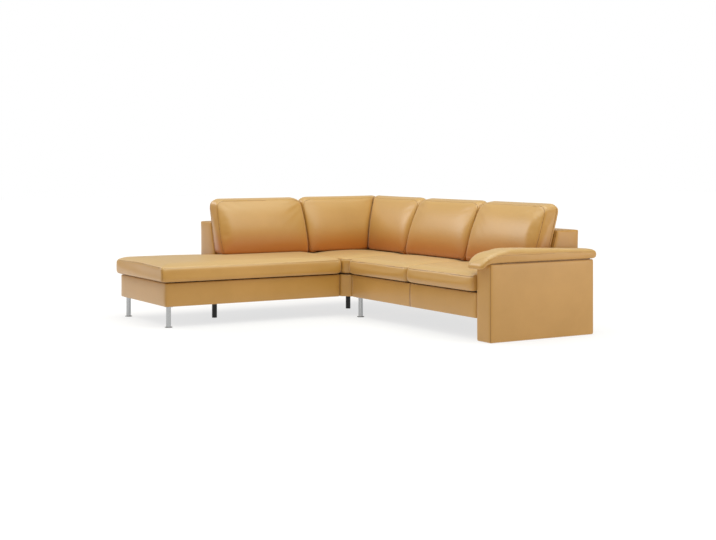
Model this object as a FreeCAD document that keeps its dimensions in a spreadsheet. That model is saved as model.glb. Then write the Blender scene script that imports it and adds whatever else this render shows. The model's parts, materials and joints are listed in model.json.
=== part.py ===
import FreeCAD, Part
import math
import os
import re
import Sketcher

# Corner sofa in three units: an open-ended lounge unit, a corner unit and a two-seater with an arm.
# The lounge unit runs towards -Y, the two-seater towards +X, and they meet in the outer back corner.
# Every unit is drawn in the frame of its wing: x along the wing, y = -depth from the outer back face.
# The left wing is that frame turned a quarter about the outer back corner, so its x counts down from 0.

doc = FreeCAD.newDocument("corner_sofa")
sheet = doc.addObject("Spreadsheet::Sheet", "Sizes")

sizes = {
    # upholstered bases
    "unitDepth": 870, "loungeLength": 1413, "seaterLength": 1574,
    "cornerChamfer": 60, "cornerWidth": "=unitDepth + cornerChamfer", "baseUnderside": 147, "baseTop": 313, "baseSkin": 8, "baseCorner": 14,
    "unitGap": 0.6, "seamPlace": 805, "seamWidth": 3, "seamDepth": 1.5,
    # timber inside the bases
    "railThickness": 16, "beamWidth": 50, "loungeBeam": 1783, "cornerBeam": 623, "blockSide": 80,
    "blockHeight": 60, "clothThickness": 1, "clothLap": 4, "strapWidth": 60, "strapThickness": 1.6,
    "strapPitch": 118, "deckThickness": 6, "deckInset": 22,
    # seat cushions
    "seatRise": 127, "seatEdgeTop": "=baseTop + seatRise", "seatCrown": 15, "seatOverhang": 35,
    "seatEndOverhang": 44, "cornerOverhang": 9, "seatFrontSoft": 34, "seatSoft": 16, "seatBelly": 5, "cushionGap": 1.2,
    "restGap": 0.3,
    # upholstered backs
    "backTop": 700, "backTopDepth": 190, "backFootDepth": 262, "backSlopeFrom": 450, "backSkin": 12,
    "backEdge": 8, "backBevel": 5, "openEndBack": 1689, "ribThickness": 18, "ribPitch": 250, "backRail": 30,
    # back cushions
    "pillowTop": 882, "pillowFootThick": 148, "pillowHeadThick": 122, "pillowCrown": 30,
    "pillowHeadCrown": 6, "pillowSoft": 46, "pillowFootSoft": 18, "pillowDrop": 48, "pillowArmGap": 19,
    # arm
    "armThickness": 153, "armHeight": 507, "armSkin": 8, "armCorner": 14,
    "gliderHeight": 3, "gliderSide": 26, "padTop": 598, "padBulge": 12, "padInward": 42,
    "padClear": 0.6, "padStep": 430, "padTail": 39, "padNose": 66,
    "padSoft": 26, "padUnderSoft": 12, "padShoulder": 760, "padBoardHeight": 12, "padBoardInset": 20,
    "boltRadius": 4, "boltHead": 7.5, "boltHeadHeight": 5, "boltHold": 48, "boltPlay": 2,
    "boltUp": 236, "boltInset": 170,
    # legs
    "legRadius": 17, "legInset": 36, "legBackInset": 72, "legSeaterInset": 75, "supportRadius": 18.5,
    "supportAcross": 466, "legPlateSide": 48, "legPlateThickness": 3, "footRadius": 27,
    "footThickness": 5, "footGap": 0.3, "screwRadius": 4, "screwPlay": 0.3, "screwLength": 30,
    "legCavity": 46,
    # link plates under the joints between the units
    "plateLength": 104, "plateWidth": 32, "plateThickness": 3, "plateInset": 190,
}
for row, (alias, size) in enumerate(sizes.items(), start=1):
    sheet.set(f"A{row}", alias)
    sheet.set(f"B{row}", str(size))
    sheet.setAlias(f"B{row}", alias)
doc.recompute()

subparts = []


def cells(text):
    """Write the sheet's name before every size that an expression uses."""
    return re.sub(r"[A-Za-z]+", lambda word: "Sizes." + word[0] if word[0] in sizes else word[0], text)


def bind(obj, prop, text):
    obj.setExpression(prop, cells(text))


def value(text):
    number = sheet.evalExpression(cells(text))
    return float(getattr(number, "Value", number))


# The origin of the sofa is the middle of its box on the floor.
rightmost = "(cornerWidth + seaterLength + armThickness + padBulge)"
foremost = "(cornerWidth + loungeLength + seatEndOverhang)"
cornerX = f"-{rightmost} / 2"
cornerY = f"({foremost} - padTail) / 2"
quarter = {"right": 0, "left": 90}


def settle(obj, label, wing="right", x="0", y="0", z="0"):
    """Name a finished sub-part and place its own frame on the sofa, in the frame of its wing."""
    obj.Label = label
    turn = quarter[wing]
    obj.Placement = FreeCAD.Placement(FreeCAD.Vector(), FreeCAD.Rotation(FreeCAD.Vector(0, 0, 1), turn))
    across, along = (x, y) if turn == 0 else (f"-({y})", x)
    bind(obj, "Placement.Base.x", f"{cornerX} + ({across})")
    bind(obj, "Placement.Base.y", f"{cornerY} + ({along})")
    bind(obj, "Placement.Base.z", z)
    subparts.append(obj)
    return obj


def newBody(name):
    return doc.addObject("PartDesign::Body", name)


def originPlane(body, role):
    return next(item for item in body.Origin.OriginFeatures if item.Role == role)


def onPlane(sketch, body, role, offset, swing=0):
    sketch.AttachmentSupport = (originPlane(body, role), [""])
    sketch.MapMode = "FlatFace"
    turn = FreeCAD.Rotation(FreeCAD.Vector(0, 1, 0), swing)
    sketch.AttachmentOffset = FreeCAD.Placement(FreeCAD.Vector(), turn)
    bind(sketch, "AttachmentOffset.Base.z", offset)


def towards(a, b, distance):
    """The point at a distance from corner a on the edge to corner b, as a pair of expressions."""
    span = f"sqrt((({b[0]}) - ({a[0]}))^2 + (({b[1]}) - ({a[1]}))^2)"
    return tuple(f"({p}) + (({q}) - ({p})) * ({distance}) / {span}" for p, q in zip(a, b))


cornerSag = 1 - math.sqrt(0.5)  # height of a quarter arc above its chord, as a share of the radius


def outline(body, name, role, offset, corners, radii=None, bulges=None, swing=0):
    """A closed sketch through corners, some rounded, with edges that may bulge outwards as arcs."""
    sketch = body.newObject("Sketcher::SketchObject", name)
    onPlane(sketch, body, role, offset, swing)
    count = len(corners)
    radii = radii or [""] * count
    bulges = bulges or [""] * count
    points, arcs = [], []
    for i, corner in enumerate(corners):
        if radii[i]:
            points.append(towards(corner, corners[i - 1], radii[i]))
            arcs.append(f"({radii[i]}) * {cornerSag}")
            points.append(towards(corner, corners[(i + 1) % count], radii[i]))
        else:
            points.append(corner)
        arcs.append(bulges[i])
    places = [FreeCAD.Vector(value(p), value(q), 0) for p, q in points]
    total = len(points)
    following = [(i + 1) % total for i in range(total)]
    area = sum(places[i].x * places[j].y - places[j].x * places[i].y for i, j in enumerate(following))
    outward = math.copysign(1, area)
    starts = []
    for i, j in enumerate(following):
        if not arcs[i]:
            sketch.addGeometry(Part.LineSegment(places[i], places[j]), False)
            starts.append((1, 2))
            continue
        run = places[j] - places[i]
        run.normalize()
        side = FreeCAD.Vector(run.y, -run.x, 0) * (outward * value(arcs[i]))
        arc = Part.Arc(places[i], (places[i] + places[j]) * 0.5 + side, places[j])
        index = sketch.addGeometry(arc, False)
        drawn = sketch.Geometry[index]
        first = drawn.value(drawn.FirstParameter)
        starts.append((1, 2) if (first - places[i]).Length < 1e-6 else (2, 1))
    for i, j in enumerate(following):
        sketch.addConstraint(Sketcher.Constraint("Coincident", i, starts[i][1], j, starts[j][0]))
    for i, (across, up) in enumerate(points):
        for kind, axis, text, now in (("DistanceX", -2, across, places[i].x),
                                      ("DistanceY", -1, up, places[i].y)):
            if abs(now) < 1e-9:
                sketch.addConstraint(Sketcher.Constraint("PointOnObject", i, starts[i][0], axis))
                continue
            made = sketch.addConstraint(Sketcher.Constraint(kind, -1, 1, i, starts[i][0], now))
            bind(sketch, f"Constraints[{made}]", text)
    for i, j in enumerate(following):
        if arcs[i]:
            chord = " + ".join(f"(({points[j][k]}) - ({points[i][k]}))^2" for k in (0, 1))
            radius = f"(({chord}) / 4 + ({arcs[i]})^2) / (2 * ({arcs[i]}))"
            made = sketch.addConstraint(Sketcher.Constraint("Radius", i, value(radius)))
            bind(sketch, f"Constraints[{made}]", radius)
    return sketch


def circles(body, name, role, offset, holes):
    """A sketch of circles, each given as x, y and radius."""
    sketch = body.newObject("Sketcher::SketchObject", name)
    onPlane(sketch, body, role, offset)
    for across, up, radius in holes:
        centre = FreeCAD.Vector(value(across), value(up), 0)
        index = sketch.addGeometry(Part.Circle(centre, FreeCAD.Vector(0, 0, 1), value(radius)), False)
        for kind, text, now in (("DistanceX", across, centre.x), ("DistanceY", up, centre.y)):
            made = sketch.addConstraint(Sketcher.Constraint(kind, -1, 1, index, 3, now))
            bind(sketch, f"Constraints[{made}]", text)
        made = sketch.addConstraint(Sketcher.Constraint("Radius", index, value(radius)))
        bind(sketch, f"Constraints[{made}]", radius)
    return sketch


def feature(body, kind, name, sketch, length="", **settings):
    made = body.newObject("PartDesign::" + kind, name)
    made.Profile = sketch
    for key, setting in settings.items():
        setattr(made, key, setting)
    if length:
        bind(made, "Length", length)
    sketch.Visibility = False
    doc.recompute()
    return made


def cut(body, kind, name, sketch, length="", **settings):
    """A pocket or groove, refused if it takes nothing away."""
    before = body.Tip.Shape.Volume
    made = feature(body, kind, name, sketch, length, **settings)
    if made.Shape.isNull() or made.Shape.Volume > before - 1e-6:
        raise RuntimeError(f"{body.Name}: {name} cuts nothing")
    return made


def loft(body, name, sections):
    made = body.newObject("PartDesign::AdditiveLoft", name)
    made.Profile = sections[0]
    made.Sections = sections[1:]
    made.Ruled = True
    doc.recompute()
    return made


def soften(body, name, size, picked, kind="Fillet"):
    """Round or bevel the edges of the last feature for which picked(start, end) is true."""
    base = body.Tip
    names = []
    for number, edge in enumerate(base.Shape.Edges, start=1):
        ends = [vertex.Point for vertex in edge.Vertexes]
        if len(ends) == 2 and picked(ends[0], ends[1]):
            names.append(f"Edge{number}")
    made = body.newObject("PartDesign::" + kind, name)
    made.Base = (base, names)
    bind(made, "Radius" if kind == "Fillet" else "Size", size)
    doc.recompute()
    return made


def upright(start, end):
    return abs(start.x - end.x) < 1e-4 and abs(start.y - end.y) < 1e-4


def level(height):
    wanted = value(height)
    return lambda start, end: abs(start.z - wanted) < 1e-4 and abs(end.z - wanted) < 1e-4


def rectangle(x0, x1, y0, y1):
    return [(x0, y0), (x1, y0), (x1, y1), (x0, y1)]


def rod(name, kind, radius, start, length):
    """A round or six-sided length lying along the wing."""
    made = doc.addObject(kind, name)
    turn = FreeCAD.Rotation(FreeCAD.Vector(0, 1, 0), 90)
    made.Placement = FreeCAD.Placement(FreeCAD.Vector(), turn)
    for axis, text in zip("xyz", start):
        bind(made, f"Placement.Base.{axis}", text)
    bind(made, "Radius" if kind == "Part::Cylinder" else "Circumradius", radius)
    bind(made, "Height", length)
    return made


def board(name, x, y, z, bores=()):
    """A straight timber between pairs of limits, with round bores along the wing."""
    made = doc.addObject("Part::Box", name)
    for side, axis, (low, high) in zip(("Length", "Width", "Height"), "xyz", (x, y, z)):
        bind(made, side, f"({high}) - ({low})")
        bind(made, f"Placement.Base.{axis}", low)
    for number, (across, up, radius) in enumerate(bores, start=1):
        drilled = doc.addObject("Part::Cut", f"{name}_bore{number}")
        drilled.Base = made
        drilled.Tool = rod(f"{name}_drill{number}", "Part::Cylinder", radius, (x[0], across, up),
                           f"({x[1]}) - ({x[0]})")
        made = drilled
    return made


def group(name, pieces):
    made = doc.addObject("Part::Compound", name)
    made.Links = pieces
    return made


# Where things stand along the wings. The left wing counts down from 0 at the outer back corner.
loungeFrom = "-(cornerWidth + loungeLength)"
loungeTo = "-cornerWidth"
seaterFrom = "cornerWidth"
seaterTo = "(cornerWidth + seaterLength)"
openEnd = "-openEndBack"
seatSplit = "(cornerWidth + seaterLength / 2)"
halfGap = "unitGap / 2"
inner = "(baseSkin + railThickness)"
railBottom = "(baseUnderside + clothThickness)"
railTop = "(baseTop - strapThickness)"
blockTop = f"({railBottom} + blockHeight)"
armBolts = ["-boltInset", "-(unitDepth - boltInset)"]

# Legs, each by wing and its place in the wing's frame.
chromeLegs = {
    "end_front": ("left", f"{loungeFrom} + legInset", "-(unitDepth - legInset)"),
    "end_back": ("left", f"{loungeFrom} + legInset", "-legBackInset"),
    "outer_corner": ("right", "legBackInset", "-legBackInset"),
    "seater_front": ("right", "cornerWidth + legSeaterInset", "-(unitDepth - legInset)"),
    "seater_back": ("right", "cornerWidth + legSeaterInset", "-legBackInset"),
}
blackLegs = {
    "lounge": ("left", "-loungeBeam", "-supportAcross"),
    "corner": ("right", "supportAcross", "-cornerBeam"),
}
# Link plates bridge the two joints, near the back and near the front of each.
plateDepths = ["plateInset", "unitDepth - plateInset"]


def cornerOutline(inset):
    """Plan of the corner unit, drawn in from all five sides."""
    cornerSide = f"(cornerWidth - {halfGap} - ({inset}))"
    slant = f"(cornerWidth - cornerChamfer - (sqrt(2) - 1) * ({inset}))"
    return [(inset, f"-({inset})"), (inset, f"-{cornerSide}"), (slant, f"-{cornerSide}"),
            (cornerSide, f"-{slant}"), (cornerSide, f"-({inset})")]


def unitOutline(start, end, inset):
    """Plan of a straight unit, drawn in from all four sides."""
    return rectangle(f"{start} + {halfGap} + ({inset})", f"{end} - {halfGap} - ({inset})",
                     f"-(unitDepth - ({inset}))", f"-({inset})")


def baseCover(name, wing, plan, boltHoles=False, seam=False):
    """The padded leather skirt round a base, wrapped over its timber."""
    body = newBody(name)
    skirt = outline(body, name + "_plan", "XY_Plane", "baseUnderside", plan("0"))
    feature(body, "Pad", name + "_skirt", skirt, "baseTop - baseUnderside")
    soften(body, name + "_corners", "baseCorner", upright)
    well = outline(body, name + "_well", "XY_Plane", "baseUnderside", plan("baseSkin"))
    cut(body, "Pocket", name + "_hollow", well, Type="ThroughAll", Reversed=True)
    if seam:
        place = f"{seaterFrom} + seamPlace"
        line = outline(body, name + "_seam", "XY_Plane", "baseUnderside",
                       rectangle(f"{place} - seamWidth / 2", f"{place} + seamWidth / 2",
                                 "-(unitDepth + seamWidth)", "-(unitDepth - seamDepth)"))
        cut(body, "Pocket", name + "_seam_cut", line, Type="ThroughAll", Reversed=True)
    if boltHoles:
        holes = circles(body, name + "_bolts", "YZ_Plane", f"{seaterTo} - baseSkin - 1",
                        [(place, "boltUp", "boltRadius + screwPlay") for place in armBolts])
        cut(body, "Pocket", name + "_bolt_holes", holes, Type="ThroughAll", Reversed=True)
    return settle(body, name, wing)


def straightFrame(name, wing, start, end, beam, bolted=False):
    """Rails on edge, a beam across, and blocks in the corners that take the legs."""
    x0, x1 = f"{start} + {halfGap} + baseSkin", f"{end} - {halfGap} - baseSkin"
    z = (railBottom, railTop)
    between = (f"-(unitDepth - {inner})", f"-{inner}")
    ends = {"start": (x0, f"{x0} + railThickness"), "end": (f"{x1} - railThickness", x1)}
    pieces = [board(f"{name}_front", (x0, x1), ("-(unitDepth - baseSkin)", between[0]), z),
              board(f"{name}_back", (x0, x1), (between[1], "-baseSkin"), z)]
    for side, x in ends.items():
        bolts = armBolts if bolted and side == "end" else ()
        bores = [(place, "boltUp", "boltRadius + screwPlay") for place in bolts]
        pieces.append(board(f"{name}_{side}", x, between, z, bores=bores))
    pieces.append(board(f"{name}_beam", (f"{beam} - beamWidth / 2", f"{beam} + beamWidth / 2"),
                        between, (railBottom, blockTop)))
    for number, y in enumerate((frontBlock, backBlock), start=1):
        x = (ends["start"][1], f"{ends['start'][1]} + blockSide")
        pieces.append(board(f"{name}_block{number}", x, y, (railBottom, blockTop)))
    return settle(group(name, pieces), name, wing)


frontBlock = (f"-(unitDepth - {inner})", f"-(unitDepth - {inner}) + blockSide")
backBlock = (f"-{inner} - blockSide", f"-{inner}")


def cornerFrame(name):
    """The square frame of the corner unit, with a short rail across its cut-off corner."""
    z = (railBottom, railTop)
    high = f"(cornerWidth - {halfGap} - baseSkin)"
    inHigh = f"({high} - railThickness)"
    slant = cornerOutline(inner)[2][0]
    slantRail = newBody(name + "_slant")
    ends = cornerOutline("baseSkin")[2:4] + cornerOutline(inner)[3:1:-1]
    feature(slantRail, "Pad", name + "_slant_pad",
            outline(slantRail, name + "_slant_plan", "XY_Plane", railBottom, ends),
            f"{railTop} - {railBottom}")
    pieces = [
        board(f"{name}_back", ("baseSkin", high), (f"-{inner}", "-baseSkin"), z),
        board(f"{name}_side", ("baseSkin", inner), (f"-{high}", f"-{inner}"), z),
        board(f"{name}_right", (inHigh, high), (f"-{slant}", f"-{inner}"), z),
        board(f"{name}_front", (inner, slant), (f"-{high}", f"-{inHigh}"), z),
        board(f"{name}_beam", (inner, inHigh),
              ("-(cornerBeam + beamWidth / 2)", "-(cornerBeam - beamWidth / 2)"),
              (railBottom, blockTop)),
        board(f"{name}_block", (inner, f"{inner} + blockSide"), backBlock, (railBottom, blockTop)),
        slantRail,
    ]
    return settle(group(name, pieces), name)


def webbing(name, wing, start, end, front):
    """Elastic straps laid over the rails from back to front, evenly spread."""
    count = int((value(end) - value(start)) / sizes["strapPitch"])
    straps = []
    for number in range(count):
        middle = f"{start} + (({end}) - ({start})) * {(number + 0.5) / count}"
        straps.append(board(f"{name}_strap{number + 1}",
                            (f"{middle} - strapWidth / 2", f"{middle} + strapWidth / 2"),
                            (f"-({front})", "-(baseSkin + unitGap)"), (railTop, "baseTop")))
    return settle(group(name, straps), name, wing)


def slab(name, wing, corners, bottom, thickness, opening=None):
    """A flat sheet cut to an outline, with an opening."""
    body = newBody(name)
    sheetPlan = outline(body, name + "_plan", "XY_Plane", bottom, corners)
    feature(body, "Pad", name + "_sheet", sheetPlan, thickness)
    if opening:
        plan = outline(body, name + "_opening", "XY_Plane", bottom, opening)
        cut(body, "Pocket", name + "_opening_cut", plan, Type="ThroughAll", Reversed=True)
    return settle(body, name, wing)


# Seat cushions
seatBottom = "(baseTop + deckThickness + restGap)"
seatRear = "(backFootDepth + padBoardHeight / 2)"
seatFront = "(unitDepth + seatOverhang)"
# Distance from a cushion's end, how far its skin is drawn in there, and its share of the full crown.
seatEnds = [(0, 12, 0.3), (14, 4, 0.65), (50, 0, 1)]


def seatSection(body, name, x, rear, front, frontSoft, pinch, crown):
    bottom, top = f"{seatBottom} + {pinch / 2}", f"seatEdgeTop - {pinch}"
    front, back = f"-({front} - {pinch})", f"-({rear} + {pinch})"
    return outline(body, name, "YZ_Plane", x,
                   [(front, bottom), (back, bottom), (back, top), (front, top)],
                   ["seatSoft", "seatSoft", "seatSoft", frontSoft],
                   ["", "", f"seatCrown * {crown}", "seatBelly"])


def lengthwise(start, end, ends):
    """Stations of a cushion from one end to the other: its ends, mirrored, with an even run between."""
    left = [(f"{start} + {step}", *rest) for step, *rest in ends]
    return left + [(f"{end} - {step}", *rest) for step, *rest in reversed(ends)]


def seatCushion(name, wing, start, end, rear=seatRear, front=seatFront, frontSoft="seatFrontSoft",
                notch=None, slant=None):
    """A seat cushion lofted along its wing, with a notch for a back or a slanting corner cut off."""
    body = newBody(name)
    sections = [seatSection(body, f"{name}_section{number}", x, rear, front, frontSoft, pinch, crown)
                for number, (x, pinch, crown) in enumerate(lengthwise(start, end, seatEnds), start=1)]
    loft(body, name + "_loft", sections)
    if notch:
        plan = outline(body, name + "_notch", "XY_Plane", seatBottom,
                       rectangle(notch, f"{end} + unitGap", f"-{seatRear}", "seatSoft"))
        cut(body, "Pocket", name + "_notch_cut", plan, Type="ThroughAll", Reversed=True)
    if slant:
        plan = outline(body, name + "_corner", "XY_Plane", seatBottom,
                       [(slant, f"-{end}"), (end, f"-{slant}"), (end, f"-{end}")])
        cut(body, "Pocket", name + "_corner_cut", plan, Type="ThroughAll", Reversed=True)
    return settle(body, name, wing)


# Upholstered backs
slope = "((backFootDepth - backTopDepth) / (backTop - backSlopeFrom))"


def backProfile(inset, bevel="0"):
    """Section of a back drawn in by an inset, with its two top edges bevelled."""
    top = f"backTop - ({inset})"
    rear, foot, head = (f"({inset})", f"(backFootDepth - ({inset}))", f"(backTopDepth - ({inset}))")
    corners = [(f"-{rear}", "baseTop"), (f"-{foot}", "baseTop"), (f"-{foot}", "backSlopeFrom")]
    if bevel == "0":
        return corners + [(f"-{head}", top), (f"-{rear}", top)]
    return corners + [(f"-({head} + {slope} * {bevel})", f"{top} - {bevel}"),
                      (f"-({head} - {bevel})", top), (f"-({rear} + {bevel})", top),
                      (f"-{rear}", f"{top} - {bevel}")]


def straightBack(name, wing, start, end):
    """A padded back, square at the rear and sloped in front, open underneath over its frame."""
    body = newBody(name)
    x0, length = f"{start} + {halfGap}", f"({end}) - ({start}) - unitGap"
    profile = outline(body, name + "_profile", "YZ_Plane", x0, backProfile("0", "backEdge"))
    feature(body, "Pad", name + "_body", profile, length)
    foot = level("baseTop")
    soften(body, name + "_ends", "backBevel",
           lambda a, b: abs(a.x - b.x) < 1e-4 and not foot(a, b), "Chamfer")
    hollow = outline(body, name + "_inside", "YZ_Plane", f"{x0} + backSkin", backProfile("backSkin"))
    cut(body, "Pocket", name + "_hollow", hollow, f"{length} - 2 * backSkin", Reversed=True)
    return settle(body, name, wing)


def backFrame(name, wing, start, end):
    """Ribs of one outline in a row, joined by a board at the foot and one at the head."""
    body = newBody(name)
    x0 = f"{start} + {halfGap} + backSkin"
    length = f"(({end}) - ({start}) - unitGap - 2 * backSkin)"
    rib = feature(body, "Pad", name + "_rib",
                  outline(body, name + "_rib_profile", "YZ_Plane", x0, backProfile("backSkin")),
                  "ribThickness")
    row = body.newObject("PartDesign::LinearPattern", name + "_ribs")
    row.Originals = [rib]
    row.Direction = (originPlane(body, "X_Axis"), [""])
    bind(row, "Length", f"{length} - ribThickness")
    row.Occurrences = 1 + math.ceil(value(length) / sizes["ribPitch"])
    body.Tip = row
    doc.recompute()
    for part, low, high in (("foot", "baseTop", "baseTop + backRail"),
                            ("head", "backTop - backSkin - backRail", "backTop - backSkin")):
        deep = "backFootDepth" if part == "foot" else "backTopDepth"
        rail = outline(body, f"{name}_{part}_profile", "YZ_Plane", x0,
                       rectangle(f"-({deep} - backSkin)", "-backSkin", low, high))
        feature(body, "Pad", f"{name}_{part}", rail, length)
    return settle(body, name, wing)


def cornerBack(name):
    """The L-shaped back of the corner unit: one profile swept round the outer corner."""
    body = newBody(name)

    def route(label, end):
        path = body.newObject("Sketcher::SketchObject", f"{name}_{label}_path")
        onPlane(path, body, "XY_Plane", "baseTop")
        far = value(end)
        places = [FreeCAD.Vector(far, 0, 0), FreeCAD.Vector(0, 0, 0), FreeCAD.Vector(0, -far, 0)]
        for a, b in zip(places, places[1:]):
            path.addGeometry(Part.LineSegment(a, b), False)
        path.addConstraint(Sketcher.Constraint("Coincident", 0, 2, 1, 1))
        path.addConstraint(Sketcher.Constraint("Coincident", 0, 2, -1, 1))
        path.addConstraint(Sketcher.Constraint("Horizontal", 0))
        path.addConstraint(Sketcher.Constraint("Vertical", 1))
        for index, place, kind, text in ((0, 1, "DistanceX", end), (1, 2, "DistanceY", f"-({end})")):
            made = path.addConstraint(Sketcher.Constraint(kind, -1, 1, index, place, value(text)))
            bind(path, f"Constraints[{made}]", text)
        path.Visibility = False
        return path

    for label, kind, inset in (("skin", "AdditivePipe", "0"), ("hollow", "SubtractivePipe", "backSkin")):
        end = f"cornerWidth - {halfGap} - ({inset})"
        bevel = "backEdge" if label == "skin" else "0"
        profile = outline(body, f"{name}_{label}_profile", "YZ_Plane", end, backProfile(inset, bevel))
        path = route(label, end)
        doc.recompute()
        pipe = body.newObject("PartDesign::" + kind, f"{name}_{label}")
        pipe.Profile = profile
        pipe.Spine = (path, ["Edge1", "Edge2"])
        pipe.Transition = 1
        doc.recompute()
    return settle(body, name)


# Back cushions
pillowFoot = "(seatEdgeTop + seatCrown + restGap)"
# Distance from a cushion's end, how far its top has come down there, how far its skin is drawn in,
# and its share of the full crown.
pillowEnds = [(0, 1, 12, 0.25), (14, 0.4, 4, 0.6), (60, 0, 0, 1)]


def pillowSection(body, name, x, drop, pinch, crown):
    """The leaning section of a back cushion, its back along the slope of the upholstered back."""
    bottom, top = f"({pillowFoot} + {pinch / 3})", f"(pillowTop - pillowDrop * {drop})"

    def rear(height):
        return f"(backFootDepth + restGap * 1.2 + {pinch} - ({height} - backSlopeFrom) * {slope})"

    def front(height):
        share = f"({height} - {pillowFoot}) / (pillowTop - {pillowFoot})"
        thick = f"(pillowFootThick + (pillowHeadThick - pillowFootThick) * {share})"
        return f"({rear(height)} + {thick} - {2 * pinch})"

    corners = [(f"-{front(bottom)}", bottom), (f"-{rear(bottom)}", bottom),
               (f"-{rear(top)}", top), (f"-{front(top)}", top)]
    return outline(body, name, "YZ_Plane", x, corners,
                   ["pillowFootSoft", "pillowFootSoft", "pillowSoft * 0.7", "pillowSoft"],
                   ["", "", "pillowHeadCrown", f"pillowCrown * {crown}"])


def backCushion(name, wing, start, end, mitre=""):
    """A back cushion between two ends. One that meets its neighbour round the corner is cut at 45 degrees."""
    body = newBody(name)
    stations = lengthwise(start, end, pillowEnds)
    if mitre == "start":
        stations = [("0", 0, 0, 1)] + stations[len(pillowEnds):]
    if mitre == "end":
        stations = stations[:-len(pillowEnds)] + [("0", 0, 0, 1)]
    loft(body, name + "_loft", [pillowSection(body, f"{name}_section{number}", *station)
                                for number, station in enumerate(stations, start=1)])
    if mitre:
        side = "1" if mitre == "start" else "-1"
        reach = "(unitDepth / 2)"
        plan = outline(body, name + "_mitre", "XY_Plane", f"{pillowFoot} - restGap",
                       [(f"{side} * cushionGap", "0"), (f"{side} * -unitGap", "0"),
                        (f"{side} * -unitGap", f"-{reach}"),
                        (f"{side} * ({reach} + cushionGap)", f"-{reach}")])
        cut(body, "Pocket", name + "_mitre_cut", plan, Type="ThroughAll", Reversed=True)
    return settle(body, name, wing)


# Arm, in its own frame: x across its thickness from the seat side, y = -depth
def armOutline(inset):
    return rectangle(inset, f"armThickness - ({inset})", f"-(unitDepth - ({inset}))", f"-({inset})")


def armCover(name):
    body = newBody(name)
    feature(body, "Pad", name + "_body", outline(body, name + "_plan", "XY_Plane", "gliderHeight",
                                                 armOutline("0")), "armHeight - gliderHeight")
    soften(body, name + "_corners", "armCorner", upright)
    well = outline(body, name + "_well", "XY_Plane", "gliderHeight", armOutline("armSkin"))
    cut(body, "Pocket", name + "_hollow", well, "armHeight - gliderHeight - armSkin", Reversed=True)
    holes = circles(body, name + "_bolts", "YZ_Plane", "armSkin + 1",
                    [(place, "boltUp", "boltRadius + screwPlay") for place in armBolts])
    cut(body, "Pocket", name + "_bolt_holes", holes, Type="ThroughAll")
    return settle(body, name, x=seaterTo)


def armCore(name):
    body = newBody(name)
    feature(body, "Pad", name + "_body", outline(body, name + "_plan", "XY_Plane", "gliderHeight",
                                                 armOutline("armSkin")),
            "armHeight - gliderHeight - armSkin")
    holes = circles(body, name + "_bolts", "YZ_Plane", "armSkin",
                    [(place, "boltUp", "boltRadius + screwPlay") for place in armBolts])
    cut(body, "Pocket", name + "_bolt_holes", holes, "boltHold", Reversed=True)
    return settle(body, name, x=seaterTo)


padSide = ("padClear", "armThickness - padBoardInset")
padRun = ("padShoulder", "padBoardInset")


def armPad(name):
    """The soft arm pad, lofted from its rounded tail to the nose that rolls over the arm's front edge."""
    body = newBody(name)
    # Depth, share of the overhang on the seat side, side drawn in, underside above the arm,
    # top below the highest point, and share of the edge radius.
    stations = [
        ("-padTail", 0, 11, 14, 43, 0.6),
        ("-padTail / 2", 0, 0, 0, 25, 1),
        ("padStep - padInward / 2", 0, 0, 0, 8, 1),
        ("padStep + padInward / 2", 1, 0, 0, 7, 1),
        ("padShoulder - padSoft", 1, 0, 0, 0, 1),
        ("unitDepth + restGap", 1, 0, 0, 50, 1),
        ("unitDepth + padNose * 2 / 3", 1, 8, -34, 78, 0.8),
        ("unitDepth + padNose", 1, 20, -41, 106, 0.5),
    ]
    sections = []
    for number, (depth, inward, pinch, rise, drop, soft) in enumerate(stations, start=1):
        bottom, top = f"armHeight + restGap + ({rise})", f"padTop - {drop}"
        x0 = f"padClear - (padInward + padClear) * {inward} + {pinch}"
        x1 = f"armThickness + padBulge - {pinch}"
        sections.append(outline(body, f"{name}_section{number}", "XZ_Plane", depth,
                                [(x0, bottom), (x1, bottom), (x1, top), (x0, top)],
                                [f"padUnderSoft * {soft}"] * 2 + [f"padSoft * {soft}"] * 2))
    loft(body, name + "_loft", sections)
    recess = outline(body, name + "_recess", "XY_Plane", "armHeight",
                     rectangle(padSide[0] + " - restGap", padSide[1] + " + restGap",
                               f"-({padRun[0]} + restGap)", f"-({padRun[1]} - restGap)"))
    cut(body, "Pocket", name + "_recess_cut", recess, "padBoardHeight + restGap", Reversed=True)
    return settle(body, name, x=seaterTo)


def turned(name, profile):
    """A round piece turned about z from its half profile."""
    body = newBody(name)
    sketch = outline(body, name + "_profile", "XZ_Plane", "0", profile)
    made = body.newObject("PartDesign::Revolution", name + "_turn")
    made.Profile = sketch
    made.ReferenceAxis = (sketch, ["V_Axis"])
    made.Angle = 360
    sketch.Visibility = False
    doc.recompute()
    return body


def leg(name, place, radius, foot, cavity):
    """A round leg under a square plate. An adjustable one is bored for the stem of its foot."""
    wing, x, y = place
    under = f"({railBottom} - legPlateThickness)"
    profile = [("0", foot), (radius, foot), (radius, under), ("0", under)]
    if cavity:
        bore = "(screwRadius + screwPlay)"
        profile = [(bore, foot), (radius, foot), (radius, under), ("0", under),
                   ("0", f"{foot} + legCavity"), (bore, f"{foot} + legCavity")]
    body = turned(name, profile)
    half = "legPlateSide / 2"
    plate = outline(body, name + "_plate", "XY_Plane", under,
                    rectangle(f"-{half}", half, f"-{half}", half))
    feature(body, "Pad", name + "_plate_pad", plate, "legPlateThickness")
    return settle(body, name, wing, x, y)


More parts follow.
